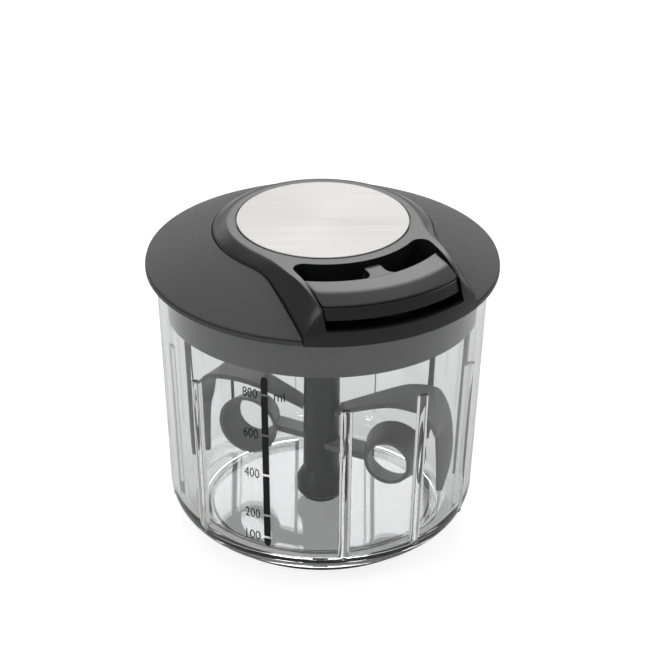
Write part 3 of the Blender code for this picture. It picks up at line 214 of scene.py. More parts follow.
collar_grey, shader = new_finish("collar plastic", (0.12, 0.12, 0.125), 0.4)
vary(collar_grey, shader, "Roughness", object_noise(collar_grey, 60), 0.36, 0.46)
fine_surface(collar_grey, shader, 0.0004)

inner_white, shader = new_finish("inner white", (0.62, 0.62, 0.6), 0.45)
vary(inner_white, shader, "Roughness", object_noise(inner_white, 80), 0.4, 0.5)
print("grey and white plastics:", [m.name for m in (insert_grey, collar_grey, inner_white)])

# %% Rubber, silicone, cord and print
rubber, shader = new_finish("soft ring rubber", (0.02, 0.02, 0.021), 0.75)
surface(rubber, shader, object_noise(rubber, 1500), 0.00004, 0.0003)

silicone, shader = new_finish("seal silicone", (0.35, 0.35, 0.36), 0.6)
vary(silicone, shader, "Roughness", object_noise(silicone, 200), 0.55, 0.7)

cord_black, shader = new_finish("braided cord", (0.03, 0.03, 0.03), 0.85)
surface(cord_black, shader, object_noise(cord_black, 2500), 0.0001)

print_black, shader = new_finish("print black", (0.01, 0.01, 0.011), 0.45, gloss=0.2)
vary(print_black, shader, "Roughness", object_noise(print_black, 300), 0.4, 0.55)
print("soft and printed:", [m.name for m in (rubber, silicone, cord_black, print_black)])

# %% [markdown]
# ## Brushed steel
# The disc was brushed in one direction, so its scratches are long and thin. Noise that
# is squeezed across the brushing and drawn out along it gives both the bump and the
# uneven gloss. The scratches spread the light, so the steel shines less sharply than
# the satin plastic round it.

# %% Steels
brushed, shader = new_finish("brushed steel", (0.39, 0.382, 0.369), 0.54, metallic=1.0)
shader.inputs["Anisotropic"].default_value = 0.35
streaks = object_noise(brushed, 25, stretch=(1, 90, 1), detail=5.0)
vary(brushed, shader, "Roughness", streaks, 0.5, 0.58)
surface(brushed, shader, streaks, 0.000006, 0.0003)

steel, shader = new_finish("plain steel", (0.6, 0.6, 0.6), 0.28, metallic=1.0)
vary(steel, shader, "Roughness", object_noise(steel, 300), 0.22, 0.36)
print("steels:", [m.name for m in (brushed, steel)])

# %% [markdown]
# ## Helpers for shapes
# Most pieces of a chopper are turned, so a profile spun about the upright axis makes
# them. A corner of a profile may carry a radius, because no moulded edge is sharp.
# A finished piece keeps its place in its mesh and rides on a CAD body.

# %% Shape helpers
MERGE = 0.002 * MM
SHARP_TURN = 35


def rounded(corners, step=15):
    """A profile from (radius, height, rounding) corners, in millimetres."""
    profile = []
    for index, (x, y, size) in enumerate(corners):
        here = Vector((x, y))
        if not size:
            profile.append(here)
            continue
        before = (Vector(corners[index - 1][:2]) - here).normalized()
        after = (Vector(corners[(index + 1) % len(corners)][:2]) - here).normalized()
        half = before.angle(after) / 2
        centre = here + (before + after).normalized() * (size / math.sin(half))
        first = here + before * (size / math.tan(half)) - centre
        last = here + after * (size / math.tan(half)) - centre
        sweep = first.angle_signed(last)
        count = max(2, math.ceil(math.degrees(abs(sweep)) / step))
        for k in range(count + 1):
            spoke = first.copy()
            spoke.rotate(Matrix.Rotation(-sweep * k / count, 2))
            profile.append(centre + spoke)
    return profile


def spun(profile, steps=180):
    """A closed body from a closed profile, turned about the upright axis."""
    bm = bmesh.new()
    verts = [bm.verts.new((point[0] * MM, 0, point[1] * MM)) for point in profile]
    edges = [bm.edges.new(pair) for pair in zip(verts, verts[1:] + verts[:1])
             if max(pair[0].co.x, pair[1].co.x) > 0]
    bmesh.ops.spin(bm, geom=verts + edges, cent=(0, 0, 0), axis=(0, 0, 1),
                   angle=2 * math.pi, steps=steps, use_merge=True)
    bmesh.ops.remove_doubles(bm, verts=bm.verts, dist=MERGE)
    bmesh.ops.recalc_face_normals(bm, faces=bm.faces)
    return bm


def bridged(rings):
    """A closed body through rings of points in metres, with its ends filled."""
    bm = bmesh.new()
    loops = []
    for ring in rings:
        verts = [bm.verts.new(point) for point in ring]
        loops.append([bm.edges.new(pair) for pair in zip(verts, verts[1:] + verts[:1])])
    for low, high in zip(loops, loops[1:]):
        bmesh.ops.bridge_loops(bm, edges=low + high)
    for loop in (loops[0], loops[-1]):
        bmesh.ops.edgeloop_fill(bm, edges=loop)
    bmesh.ops.recalc_face_normals(bm, faces=bm.faces)
    return bm


def plain(name, bm):
    """The bmesh as an object of its own."""
    mesh = bpy.data.meshes.new(name)
    bm.to_mesh(mesh)
    bm.free()
    piece = bpy.data.objects.new(name, mesh)
    scene.collection.objects.link(piece)
    return piece


def rod(radius, low, high, place=(0, 0), steps=32):
    """An upright round body, in millimetres."""
    bm = bmesh.new()
    middle = Matrix.Translation((place[0] * MM, place[1] * MM, (low + high) / 2 * MM))
    bmesh.ops.create_cone(bm, cap_ends=True, segments=steps, radius1=radius * MM,
                          radius2=radius * MM, depth=(high - low) * MM, matrix=middle)
    return bm


def soften(piece, sharp=SHARP_TURN):
    """Smooth shading in which the large flat faces keep their own direction."""
    piece.data.shade_smooth()
    piece.data.set_sharp_from_angle(angle=math.radians(sharp))
    piece.modifiers.clear()
    weighted = piece.modifiers.new("weighted normals", "WEIGHTED_NORMAL")
    weighted.keep_sharp = True
    weighted.weight = 100


def finished(name, bm, material, body, nodes=(), sharp=SHARP_TURN):
    """The bmesh as a piece that rides on a body and stands for CAD nodes."""
    piece = plain(name, bm)
    piece.data.materials.append(material)
    soften(piece, sharp)
    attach(piece, body)
    if nodes:
        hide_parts(*nodes)
    print(f"{name}: {len(piece.data.polygons)} faces")
    return piece


def cut(piece, cutter, operation="DIFFERENCE"):
    """Cuts a bmesh or an object out of the piece, or joins it, and keeps the mesh."""
    if not isinstance(cutter, bpy.types.Object):
        cutter = plain("cutter", cutter)
    for solid in (piece, cutter):
        solid.modifiers.clear()
    modifier = piece.modifiers.new("cut", "BOOLEAN")
    modifier.operation = operation
    modifier.solver = "EXACT"
    modifier.object = cutter
    bpy.context.view_layer.update()
    graph = bpy.context.evaluated_depsgraph_get()
    result = bpy.data.meshes.new_from_object(piece.evaluated_get(graph))
    old, piece.data = piece.data, result
    soften(piece)
    bpy.data.meshes.remove(cutter.data)
    bpy.data.meshes.remove(old)


# %% [markdown]
# ## The jar
# The clear jar widens a little toward its rim and stands on a foot ring. Its whole wall
# is one profile: the floor with a low boss for the pin, a rounded corner inside and
# outside, and a rim with soft edges. Light shows every facet of clear plastic, so it is
# spun in small steps.

# %% The jar's wall
WALL, RIM_HEIGHT, FLOOR_TOP, BOSS_TOP, FLOOR_UNDER = 2.7, 110, 7.5, 8.2, 4.5
JAR_DRAFT, CORNER_TOP, CORNER_TOP_RADIUS = 0.049, 18.3, 60.1
OUTER_CORNER, INNER_CORNER = 17, 11


def jar_radius(height):
    """Outer radius of the jar's wall, in millimetres."""
    return CORNER_TOP_RADIUS + JAR_DRAFT * (height - CORNER_TOP)


def bend(centre, radius, start, end, count):
    """Points of an arc, in degrees from start to end."""
    angles = [math.radians(start + (end - start) * i / count) for i in range(count + 1)]
    return [(centre[0] + radius * math.cos(a), centre[1] + radius * math.sin(a), 0)
            for a in angles]


inner_start = FLOOR_TOP + INNER_CORNER
inner_low = jar_radius(inner_start) - WALL
rim_radius = jar_radius(RIM_HEIGHT)
jar_corners = [(0, 5.6, 0), (1.8, 5.6, 0), (1.8, BOSS_TOP, 0.2), (6.5, BOSS_TOP, 0.4),
               (7.2, FLOOR_TOP, 0.4)]
jar_corners += bend((inner_low - INNER_CORNER, inner_start), INNER_CORNER, -90, 0, 12)
jar_corners += [(rim_radius - WALL, RIM_HEIGHT, 0.8), (rim_radius, RIM_HEIGHT, 0.8)]
jar_corners += bend((CORNER_TOP_RADIUS - OUTER_CORNER, CORNER_TOP), OUTER_CORNER, 0, -73.6, 16)
jar_corners += [(47.9, 1.3, 0.5), (46.7, 1.3, 0), (46.7, 3.3, 0), (44.9, 3.3, 0),
                (44.9, 1.3, 0), (43.6, 1.3, 0.4), (43.6, FLOOR_UNDER, 0.6), (0, FLOOR_UNDER, 0)]
clear_jar = finished("clear_jar", spun(rounded(jar_corners), steps=216), clear, "jar",
                     ["jar"])

# %% [markdown]
# ## Ribs inside the jar
# Eleven round ribs run up the inside of the wall and stop below the collar, and the
# twelfth place is left free for the printed scale. Each is a round bar with a domed top,
# sunk half into the wall and joined to it, so that light passes without a seam.

# %% The ribs
RIB_RADIUS, RIB_TOP, RIB_LOW = 2.3, 80.0, 11.9
RIB_PLACES, FIRST_RIB = 12, 8.9
rib_lean = math.atan(JAR_DRAFT)
rib_length = (RIB_TOP - RIB_LOW) / math.cos(rib_lean) - RIB_RADIUS
rib_side = [(0, 0, 0), (RIB_RADIUS, 0, 0)] + bend((0, rib_length), RIB_RADIUS, 0, 90, 8)[:-1]
ribs = spun(rounded(rib_side + [(0, rib_length + RIB_RADIUS, 0)]), steps=32)
place = (Matrix.Rotation(math.radians(FIRST_RIB - 90), 4, "Z")
         @ Matrix.Translation(((jar_radius(RIB_LOW) - WALL) * MM, 0, RIB_LOW * MM))
         @ Matrix.Rotation(rib_lean, 4, "Y"))
bmesh.ops.transform(ribs, verts=ribs.verts, matrix=place)
copies = RIB_PLACES - 2
bmesh.ops.spin(ribs, geom=ribs.verts[:] + ribs.edges[:] + ribs.faces[:], cent=(0, 0, 0),
               axis=(0, 0, 1), angle=math.radians(360 / RIB_PLACES * copies), steps=copies,
               use_duplicate=True)
cut(clear_jar, ribs, "UNION")
print("jar with ribs:", len(clear_jar.data.polygons), "faces")

# %% [markdown]
# ## The printed scale
# The volume marks are printed on the outside of the wall: an upright bar with gaps at
# the marks, the numbers on its left and the unit on its right. They are made flat, a few
# hundredths of a millimetre thick, and then wrapped onto the wall.

# %% Wrap a print onto the wall
SCALE_ANGLE = math.radians(-19.7)
PRINT_GAP, PRINT_THICKNESS = 0.02, 0.06


def wrapped(bm):
    """Takes x as the way round the wall and y as the height, both in millimetres."""
    for vert in bm.verts:
        across, height, out = vert.co
        radius = jar_radius(height) + PRINT_GAP + out
        angle = SCALE_ANGLE + across / jar_radius(height)
        vert.co = Vector((radius * math.sin(angle), -radius * math.cos(angle), height)) * MM
    bmesh.ops.recalc_face_normals(bm, faces=bm.faces)
    return bm


# %% [markdown]
# The bar starts a little below the lowest mark and ends above the highest, with round
# ends. Each stretch between two gaps is one flat face, with points along its sides so
# that it can bend round the wall, and is extruded to the thickness of the ink.

# %% The bar between its gaps
BAR_HALF, GAP_HALF, END_LEAST = 1.35, 0.5, 0.3
bar = bmesh.new()
marks = [17.0, 20.9, 31.0, 49.4, 67.3, 85.2, 93.2]
for index, (low, high) in enumerate(zip(marks, marks[1:])):
    low += GAP_HALF if index else 0.0
    high -= GAP_HALF if index < len(marks) - 2 else 0.0
    count = max(2, round(high - low))
    outline = []
    for k in range(count + 1):
        height = low + (high - low) * k / count
        from_end = min(height - marks[0], marks[-1] - height)
        half = BAR_HALF if from_end > BAR_HALF else math.sqrt(
            max(BAR_HALF ** 2 - (BAR_HALF - from_end) ** 2, END_LEAST))
        outline.append((half, height))
    verts = [bar.verts.new((x, y, 0)) for x, y in outline]
    verts += [bar.verts.new((-x, y, 0)) for x, y in reversed(outline)]
    bar.faces.new(verts)
flat = bmesh.ops.extrude_face_region(bar, geom=bar.faces[:])["geom"]
raised = [item for item in flat if isinstance(item, bmesh.types.BMVert)]
bmesh.ops.translate(bar, verts=raised, vec=(0, 0, PRINT_THICKNESS))
finished("scale_bar", wrapped(bar), print_black, "jar")

# %% [markdown]
# The numbers are plain text that becomes a mesh. Each one is stretched to fill its box
# beside the mark, so its size doesn't depend on the letters' own widths.

# %% The numbers and the unit
NUMBER_LEFT, NUMBER_RIGHT, NUMBER_HALF = -9.05, -2.85, 2.05
UNIT_BOX = (3.85, 8.0, 83.6, 87.6)
TEXT_STEPS, TEXT_DEPTH, TEXT_MERGE = 4, 0.05, 0.00001


def printed(words, name, left, right, low, high):
    """Letters that fill a box on the wall, in millimetres."""
    curve = bpy.data.curves.new(name, "FONT")
    curve.body = words
    curve.resolution_u = TEXT_STEPS
    curve.extrude = TEXT_DEPTH
    text = bpy.data.objects.new(name, curve)
    scene.collection.objects.link(text)
    bpy.context.view_layer.update()
    graph = bpy.context.evaluated_depsgraph_get()
    mesh = bpy.data.meshes.new_from_object(text.evaluated_get(graph))
    bpy.data.objects.remove(text)
    bm = bmesh.new()
    bm.from_mesh(mesh)
    bmesh.ops.remove_doubles(bm, verts=bm.verts, dist=TEXT_MERGE)
    lowest = Vector(min(vert.co[axis] for vert in bm.verts) for axis in range(3))
    highest = Vector(max(vert.co[axis] for vert in bm.verts) for axis in range(3))
    size = highest - lowest
    for vert in bm.verts:
        share = [(vert.co[axis] - lowest[axis]) / size[axis] for axis in range(3)]
        vert.co = (left + share[0] * (right - left), low + share[1] * (high - low),
                   share[2] * PRINT_THICKNESS)
    finished(name, wrapped(bm), print_black, "jar")


for height, words in zip(marks[1:], ("100", "200", "400", "600", "800")):
    printed(words, "number_" + words, NUMBER_LEFT, NUMBER_RIGHT, height - NUMBER_HALF,
            height + NUMBER_HALF)
printed("ml", "unit_ml", *UNIT_BOX)

# %% [markdown]
# ## The ring that the jar stands on
# A soft black ring sits on the foot. Its tongue goes up into a groove of the foot, and
# its lower corners are rounded.

# %% The anti-slip ring
ring_corners = [(47.3, 1.0, 0.2), (47.3, 0, 0.3), (44.3, 0, 0.3), (44.3, 1.0, 0.2),
                (45.2, 1.0, 0), (45.2, 3.0, 0.2), (46.4, 3.0, 0.2), (46.4, 1.0, 0)]
finished("soft_ring", spun(rounded(ring_corners[::-1])), rubber, "jar", ["anti_slip_ring"])

# %% [markdown]
# ## The mixer's shaft
# The dark shaft stands on a steel pin. It thickens to a collar at its foot, and its
# upper end is a hexagon that the lid's coupling turns. An upright body with six sides
# is joined on for that end.

# %% The shaft
HEXAGON_RADIUS, HEXAGON_LOW, HEXAGON_TOP = 6, 80, 104
shaft_corners = [(0, 95, 0), (7.07, 95, 0.4), (7.07, 20.5, 1.5), (9.5, 16, 1.2),
                 (9.5, 10.3, 0.8), (7, 8.5, 0.6), (1.8, 8.5, 0.2), (1.8, 14.0, 0), (0, 14.0, 0)]
shaft = finished("mixer_shaft_smooth", spun(rounded(shaft_corners), steps=96), shaft_black,
                 "mixer", ["mixer_shaft"])
cut(shaft, rod(HEXAGON_RADIUS, HEXAGON_LOW, HEXAGON_TOP, steps=6), "UNION")

# %% [markdown]
# ## Wings and scoops
# These forms come from the CAD solids, because their shapes are right. A solid arrives
# as loose triangles, so a copy is merged into one skin, flat areas are joined into large
# faces, and the normals follow those faces. The finish then rounds the edges softly.

# %% Smooth copies
FLAT_TURN, FORM_SHARP = 0.4, 30


def smooth_copy(node, material, body):
    """A merged and smoothly shaded copy of a CAD node, in its place."""
    bm = bmesh.new()
    bm.from_mesh(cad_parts[node].data)
    bmesh.ops.remove_doubles(bm, verts=bm.verts, dist=MERGE)
    bmesh.ops.dissolve_limit(bm, angle_limit=math.radians(FLAT_TURN), verts=bm.verts,
                             edges=bm.edges)
    finished(node + "_smooth", bm, material, body, [node], FORM_SHARP)


for node in ("wing_right", "wing_left", "scoop_right", "scoop_left"):
    smooth_copy(node, insert_grey, "mixer")

# %% [markdown]
# ## The lid's cover
# The cover is a shallow cone with a thin groove above its rim band. It has a cut in the
# outline of the housing, like a keyhole, with a narrow gap all round. The cone is spun,
# and an upright body in that outline is cut out of it.

# %% The cover's cone
LID_TURN = Matrix.Rotation(math.radians(26.2), 4, "Z")
COVER_RADIUS, RIM_LOW, RIM_INSIDE = 68.65, 110.6, 66.65
CONE_EDGE, CONE_SLOPE, CONE_SWELL, CONE_INNER, CONE_WALL = 113.2, 0.4645, 0.5, 40, 2.2


def cover_height(radius):
    """Height of the cone, which swells a little between its edge and its inner end."""
    inward = COVER_RADIUS - radius
    share = inward / (COVER_RADIUS - CONE_INNER)
    return CONE_EDGE + CONE_SLOPE * inward + 4 * CONE_SWELL * share * (1 - share)


cone_top = [(radius, cover_height(radius), 0) for radius in range(CONE_INNER, 68, 2)]
cone_under = [(radius, cover_height(radius) - CONE_WALL, 0)
              for radius in range(66, CONE_INNER - 1, -2)]
cover_corners = cone_top + [
    (68.4, cover_height(68.4), 0.5), (68.4, 112.75, 0), (68.0, 112.7, 0), (68.0, 112.35, 0),
    (COVER_RADIUS, 112.3, 0.2), (COVER_RADIUS, RIM_LOW, 0.3), (RIM_INSIDE, RIM_LOW, 0.2),
    (RIM_INSIDE, cover_height(RIM_INSIDE) - CONE_WALL, 0.3)] + cone_under
cover = finished("cover_cone", spun(rounded(cover_corners[::-1]), steps=240), cover_black,
                 "lid", ["lid_cover"])

# %% [markdown]
# ## The keyhole outline
# Seen from above, the housing is a circle that runs out into a nose with straight
# sides. One function gives that outline as angles off the nose and radii, for the cut in
# the cover and for the housing itself. The sides and the circle blend where they meet.

# %% Cut the keyhole out of the cover
FRONT_STEPS, SIDE_STEPS = 12, 90
SIDE_END, SIDE_FALL = math.radians(68), 14
CUT_LOW, CUT_TOP = 108, 132


def keyhole(ring, front, half, blend, lean=0.0, corner=None):
    """Points (angle from the nose, radius) round a ring with a nose of a half width.

    The nose reaches the radius front. Its sides close in by lean for each step ahead, and
    blend is the length over which they run into the ring.
    """
    corner = corner or math.asin(half / front)
    side = [(corner * i / FRONT_STEPS, front) for i in range(FRONT_STEPS + 1)]
    for i in range(1, SIDE_STEPS + 1):
        angle = corner + (math.pi - corner) * i / SIDE_STEPS
        reach = min(angle, SIDE_END)
        line = half / (math.sin(reach) + lean * math.cos(reach)) - SIDE_FALL * (angle - reach)
        near = max(blend - abs(ring - line), 0) / blend
        side.append((angle, max(ring, line) + near ** 2 * blend / 4))
    return side + [(-angle, radius) for angle, radius in reversed(side[1:-1])]


def turned_point(angle, radius, height):
    """A point in metres from an angle off the nose, a radius and a height."""
    return Vector((radius * math.sin(angle), -radius * math.cos(angle), height)) * MM


outline = keyhole(ring=42.9, front=COVER_RADIUS + 2, half=36.5, blend=4)
hole = bridged([[turned_point(angle, radius, height) for angle, radius in outline]
                for height in (CUT_LOW, CUT_TOP)])
bmesh.ops.transform(hole, verts=hole.verts, matrix=LID_TURN)
cut(cover, hole)
print("cover:", len(cover.data.polygons), "faces")

# %% [markdown]
# ## The housing
# The satin housing is a ring that runs out into a nose with two rails. Its skin is a
# stack of outlines: the foot in the cover's cut, a break in the side wall, the rolled
# upper edge, and rings that follow the falling top inward to the disc's seat.

# %% The housing's skin
HOUSING_TOP, SEAT_FLOOR, SEAT_RADIUS = 129.3, 128.6, 33.75
NOSE_REACH, NOSE_HALF, NOSE_FALL, FALL_START = 65, 29.2, 5.3, 38
NOSE_LEAN, BREAK_SHARE, BREAK_RISE = 0.1, 0.15, 0.306
EDGE_FRONT, EDGE_BACK, EDGE_BLEND = 0.35, 1.2, 18
ROLL_SHARES = (0, 0.25, 0.5, 0.75, 1)
TOP_SHARES = (0.88, 0.74, 0.6, 0.46, 0.32, 0.18)
top_corner = math.asin(NOSE_HALF / NOSE_REACH)
leaned_half = NOSE_HALF + NOSE_LEAN * NOSE_REACH * math.cos(top_corner)
foot_line = keyhole(ring=42.6, front=COVER_RADIUS, half=36.2, blend=4)
top_line = keyhole(ring=37.3, front=NOSE_REACH, half=leaned_half, blend=5, lean=NOSE_LEAN,
                   corner=top_corner)


def top_height(angle, radius):
    """The nose falls toward its front end."""
    front = NOSE_REACH * math.cos(top_corner)
    share = max(radius * math.cos(angle) - FALL_START, 0) / (front - FALL_START)
    return HOUSING_TOP - NOSE_FALL * min(share, 1) ** 2


def on_top(angle, radius):
    """A point of the housing's upper face."""
    return turned_point(angle, radius, top_height(angle, radius))


def housing_skin():
    """The closed outer body of the housing, in the lid's own direction."""
    foot = [turned_point(angle, radius, RIM_LOW) for angle, radius in foot_line]
    on_cover = [turned_point(angle, radius, cover_height(radius)) for angle, radius in foot_line]
    edge = [on_top(angle, radius) for angle, radius in top_line]
    broken = [low + (high - low) * Vector((BREAK_SHARE, BREAK_SHARE, BREAK_RISE))
              for low, high in zip(on_cover, edge)]
    rings = [foot, on_cover, broken]
    roll, rim = [], []
    for (angle, radius), corner, below in zip(top_line, edge, broken):
        backward = min(max((FALL_START - radius * math.cos(angle)) / EDGE_BLEND, 0), 1)
        size = EDGE_FRONT + (EDGE_BACK - EDGE_FRONT) * backward
        first = corner + (below - corner).normalized() * size * MM
        roll.append((first, corner, on_top(angle, radius - size)))
        rim.append((angle, radius - size))
    for share in ROLL_SHARES:
        rings.append([first * (1 - share) ** 2 + corner * 2 * share * (1 - share)
                      + last * share ** 2 for first, corner, last in roll])
    for share in TOP_SHARES:
        rings.append([on_top(angle, SEAT_RADIUS + (radius - SEAT_RADIUS) * share)
                      for angle, radius in rim])
    for height in (HOUSING_TOP, SEAT_FLOOR):
        rings.append([turned_point(angle, SEAT_RADIUS, height) for angle, _ in top_line])
    return bridged(rings)


housing = finished("housing_shell", housing_skin(), satin_housing, "lid",
                   ["top_housing"])

# %% [markdown]
# ## The recess and the hollow
# The handle rests in a recess of the nose, behind a low lip. It is cut first. Then the
# ring is hollowed from below, with four bosses left standing for the screws, and last
# come the holes for the screws, the axle's screw and the cord's guide. The hollow is a
# plain turned body, which keeps clear of the rails and leaves them solid.

# %% Cut the recess and the hollow
RECESS_BACK, RECESS_HALF, RECESS_FLOOR, LIP_TOP = 38.2, 28.6, 114.3, 116.5
RECESS_CORNER, ARC_STEPS, LIP_BACK, LIP_STEP, RECESS_WALL = 4, 16, 66.2, 0.3, 2
PAST_NOSE, PAST_TOP, PAST_FOOT = 70.65, 131.3, 108.6
NOSE_UNDER, CEILING, PAST_HOLLOW = 112.5, 126.4, 104
SCREW_PLACE, BOSS_RADIUS, SCREW_HOLE = 36.4, 4.2, 1.55
BOSS_LOW, SCREW_LOW, SCREW_TOP = 105, 108.5, 121.3
CORD_ASIDE, CORD_Z, GUIDE_START, GUIDE_LENGTH, GUIDE_HOLE = 0.8, 122.0, 33.6, 6, 2.5


def recess_plan(back, half, front):
    """Plan of the recess: a back wall round the axis, round corners, straight sides."""
    corner_radius = back + RECESS_CORNER
    turn = math.asin((half - RECESS_CORNER) / corner_radius)
    centre = (corner_radius * math.sin(turn), corner_radius * math.cos(turn))
    side = [(back * math.sin(turn * i / ARC_STEPS), back * math.cos(turn * i / ARC_STEPS))
            for i in range(ARC_STEPS + 1)]
    corner = bend(centre, RECESS_CORNER, -90 - math.degrees(turn), 0, 10)
    side += [(x, y) for x, y, _ in corner[1:]]
    end = math.asin(half / front)
    side += [(front * math.sin(end * i / ARC_STEPS), front * math.cos(end * i / ARC_STEPS))
             for i in range(ARC_STEPS, -1, -1)]
    return [Vector((x, -y, 0)) * MM for x, y in side + [(-x, y) for x, y in side[-2:0:-1]]]


def stack(levels):
    """A body through plans at heights in millimetres."""
    return bridged([[point + UP * height * MM for point in plan] for plan, height in levels])


def at_screws(radius, low, high):
    """Four round bodies where the lid's screws are, as one bmesh."""
    bm = bmesh.new()
    for angle in (60, 120, 240, 300):
        spot = turned_point(math.radians(angle), SCREW_PLACE, (low + high) / 2)
        bmesh.ops.create_cone(bm, cap_ends=True, segments=32, radius1=radius * MM,
                              radius2=radius * MM, depth=(high - low) * MM,
                              matrix=Matrix.Translation(spot))
    return bm


floor_plan = recess_plan(RECESS_BACK + LIP_STEP, RECESS_HALF - LIP_STEP, LIP_BACK)
open_plan = recess_plan(RECESS_BACK, RECESS_HALF, PAST_NOSE)
kept_plan = recess_plan(RECESS_BACK - RECESS_WALL, RECESS_HALF + RECESS_WALL, PAST_NOSE)
cut(housing, stack([(floor_plan, RECESS_FLOOR), (floor_plan, LIP_TOP + 1)]))
cut(housing, stack([(open_plan, LIP_TOP), (open_plan, PAST_TOP)]))
cut(housing, rod(RIM_INSIDE, PAST_FOOT, NOSE_UNDER, steps=240))
hollow_side = [(0, PAST_FOOT), (40.4, PAST_FOOT), (40.4, 123.5), (36.5, CEILING), (0, CEILING)]
hollow = plain("hollow", spun(hollow_side, steps=120))
cut(hollow, stack([(kept_plan, PAST_HOLLOW), (kept_plan, PAST_TOP)]))
cut(hollow, at_screws(BOSS_RADIUS, BOSS_LOW, HOUSING_TOP))
cut(housing, hollow)
cut(housing, at_screws(SCREW_HOLE, SCREW_LOW, SCREW_TOP))
axle_screw_side = [(0, 124.4), (1.4, 124.4), (1.4, 127.5), (3.1, 127.5), (3.1, 129), (0, 129)]
cut(housing, spun(axle_screw_side, steps=32))
guide_hole = rod(GUIDE_HOLE, 0, GUIDE_LENGTH, steps=24)
guide_place = Matrix.Translation(Vector((CORD_ASIDE, -GUIDE_START, CORD_Z)) * MM)
bmesh.ops.transform(guide_hole, verts=guide_hole.verts,
                    matrix=guide_place @ Matrix.Rotation(math.radians(90), 4, "X"))
cut(housing, guide_hole)
housing.data.transform(LID_TURN)
print("housing:", len(housing.data.polygons), "faces")

# %% [markdown]
# ## The handle
# The handle is a bar that curves with the lid, made of an upper and a lower shell. A
# profile is carried from one end to the other and shrinks a little at the ends, which
# rounds them. The stem that holds the cord is joined on, with hollow corners where it
# meets the bar.

# %% The handle's shells
HANDLE_HALF, BAR_BACK, UPPER_LOW, LOWER_TOP = 28.0, 48.6, 124.45, 124.15
HANDLE_STEPS, END_ROUNDING = 24, ((0, 0.6), (0.1, 0.33), (0.35, 0.1))
STEM_HALF, STEM_START, STEM_FLARE, STEM_CHAMFER, STEM_INTO_BAR = 3.4, 39.6, 4.6, 0.8, 3
STEM_LOW, STEM_TOP = 120.2, 127.4
HANDLE_SCREW_ASIDE, HANDLE_SCREW_RADIUS, HANDLE_HOLE = 16, 55.5, (2.3, 117.4, 121.2)


def bar_body(profile):
    """The profile of (radius, height) points, carried across the nose."""
    largest = [max(point[k] for point in profile) for k in (0, 1)]
    middle = [(min(point[k] for point in profile) + largest[k]) / 2 for k in (0, 1)]
    half = [largest[k] - middle[k] for k in (0, 1)]
    ends = [(inward - HANDLE_HALF, inset) for inward, inset in END_ROUNDING]
    places = [(HANDLE_HALF * i / HANDLE_STEPS, 0) for i in range(1 - HANDLE_STEPS, HANDLE_STEPS)]
    places = ends + places + [(-aside, inset) for aside, inset in reversed(ends)]
    rings = []
    for aside, inset in places:
        ring = []
        for point in profile:
            radius, height = (middle[k] + (point[k] - middle[k]) * (1 - inset / half[k])
                              for k in (0, 1))
            ring.append(Vector((aside, -math.sqrt(radius ** 2 - aside ** 2), height)) * MM)
        rings.append(ring)
    return bridged(rings)


wide = STEM_HALF + STEM_FLARE
flare = [(x, y) for x, y, _ in bend((wide, BAR_BACK - STEM_FLARE), STEM_FLARE, 180, 90, 14)]
stem_side = [(STEM_HALF - STEM_CHAMFER, STEM_START), (STEM_HALF, STEM_START + STEM_CHAMFER)]
stem_side += flare + [(wide, BAR_BACK + STEM_INTO_BAR)]
stem_plan = [Vector((x + CORD_ASIDE, -y, 0)) * MM
             for x, y in stem_side + [(-x, y) for x, y in reversed(stem_side)]]
upper = [(BAR_BACK, UPPER_LOW, 0), (BAR_BACK, 127.8, 0.7), (56.95, 127.3, 9),
         (63.3, 124.9, 0.6), (63.6, UPPER_LOW, 0)]
lower = [(BAR_BACK, LOWER_TOP, 0.2), (63.9, LOWER_TOP, 0.5), (66, 119.4, 0.8),
         (BAR_BACK, 119.4, 0.8)]
for name, corners, low, high, node in (
        ("handle_upper", upper, UPPER_LOW, STEM_TOP, "handle_upper_shell"),
        ("handle_lower", lower, STEM_LOW, LOWER_TOP, "handle_lower_shell")):
    shell = finished(name, bar_body(rounded(corners)), satin_handle, "handle", [node])
    cut(shell, stack([(stem_plan, low), (stem_plan, high)]), "UNION")
    if name == "handle_lower":
        for aside in (-HANDLE_SCREW_ASIDE, HANDLE_SCREW_ASIDE):
            spot = (aside, -math.sqrt(HANDLE_SCREW_RADIUS ** 2 - aside ** 2))
            cut(shell, rod(*HANDLE_HOLE, spot))
    shell.data.transform(LID_TURN)

# %% [markdown]
# ## The collar and the disc
# The grey collar of the lid reaches down into the jar and is seen through its wall. Its
# floor closes the jar and carries the bosses that the housing is screwed to.

# %% The collar and the lid's floor
collar_corners = [
    (57.2, 111.7, 0.2), (66.0, 111.7, 0.2), (66.0, 110.3, 0.2), (60.3, 110.3, 0.1),
    (60.3, 109.4, 0.1), (59.0, 109.4, 0), (59.0, 106.9, 0), (60.3, 106.9, 0.1),
    (60.3, 93.5, 0.8), (57.2, 93.5, 0.8), (57.2, 95.0, 0), (10.3, 95.0, 0.2),
    (10.3, 104.0, 0.2), (12.2, 104.0, 0.2), (12.2, 97.0, 0.3), (57.2, 97.0, 0.3)]
collar = finished("collar", spun(rounded(collar_corners[::-1])), collar_grey, "lid",
                  ["lid_base"])
for radius, low, high, operation in ((BOSS_RADIUS, 96, 112.2, "UNION"),
                                     (2.9, 93, 97.6, "DIFFERENCE"),
                                     (SCREW_HOLE, 97.5, 114, "DIFFERENCE")):
    body = at_screws(radius, low, high)
    bmesh.ops.transform(body, verts=body.verts, matrix=LID_TURN)
    cut(collar, body, operation)

# %% [markdown]
# The steel disc lies in a seat on the housing, with a dark gap round it. It is a flat
# turned piece with a broken upper edge.

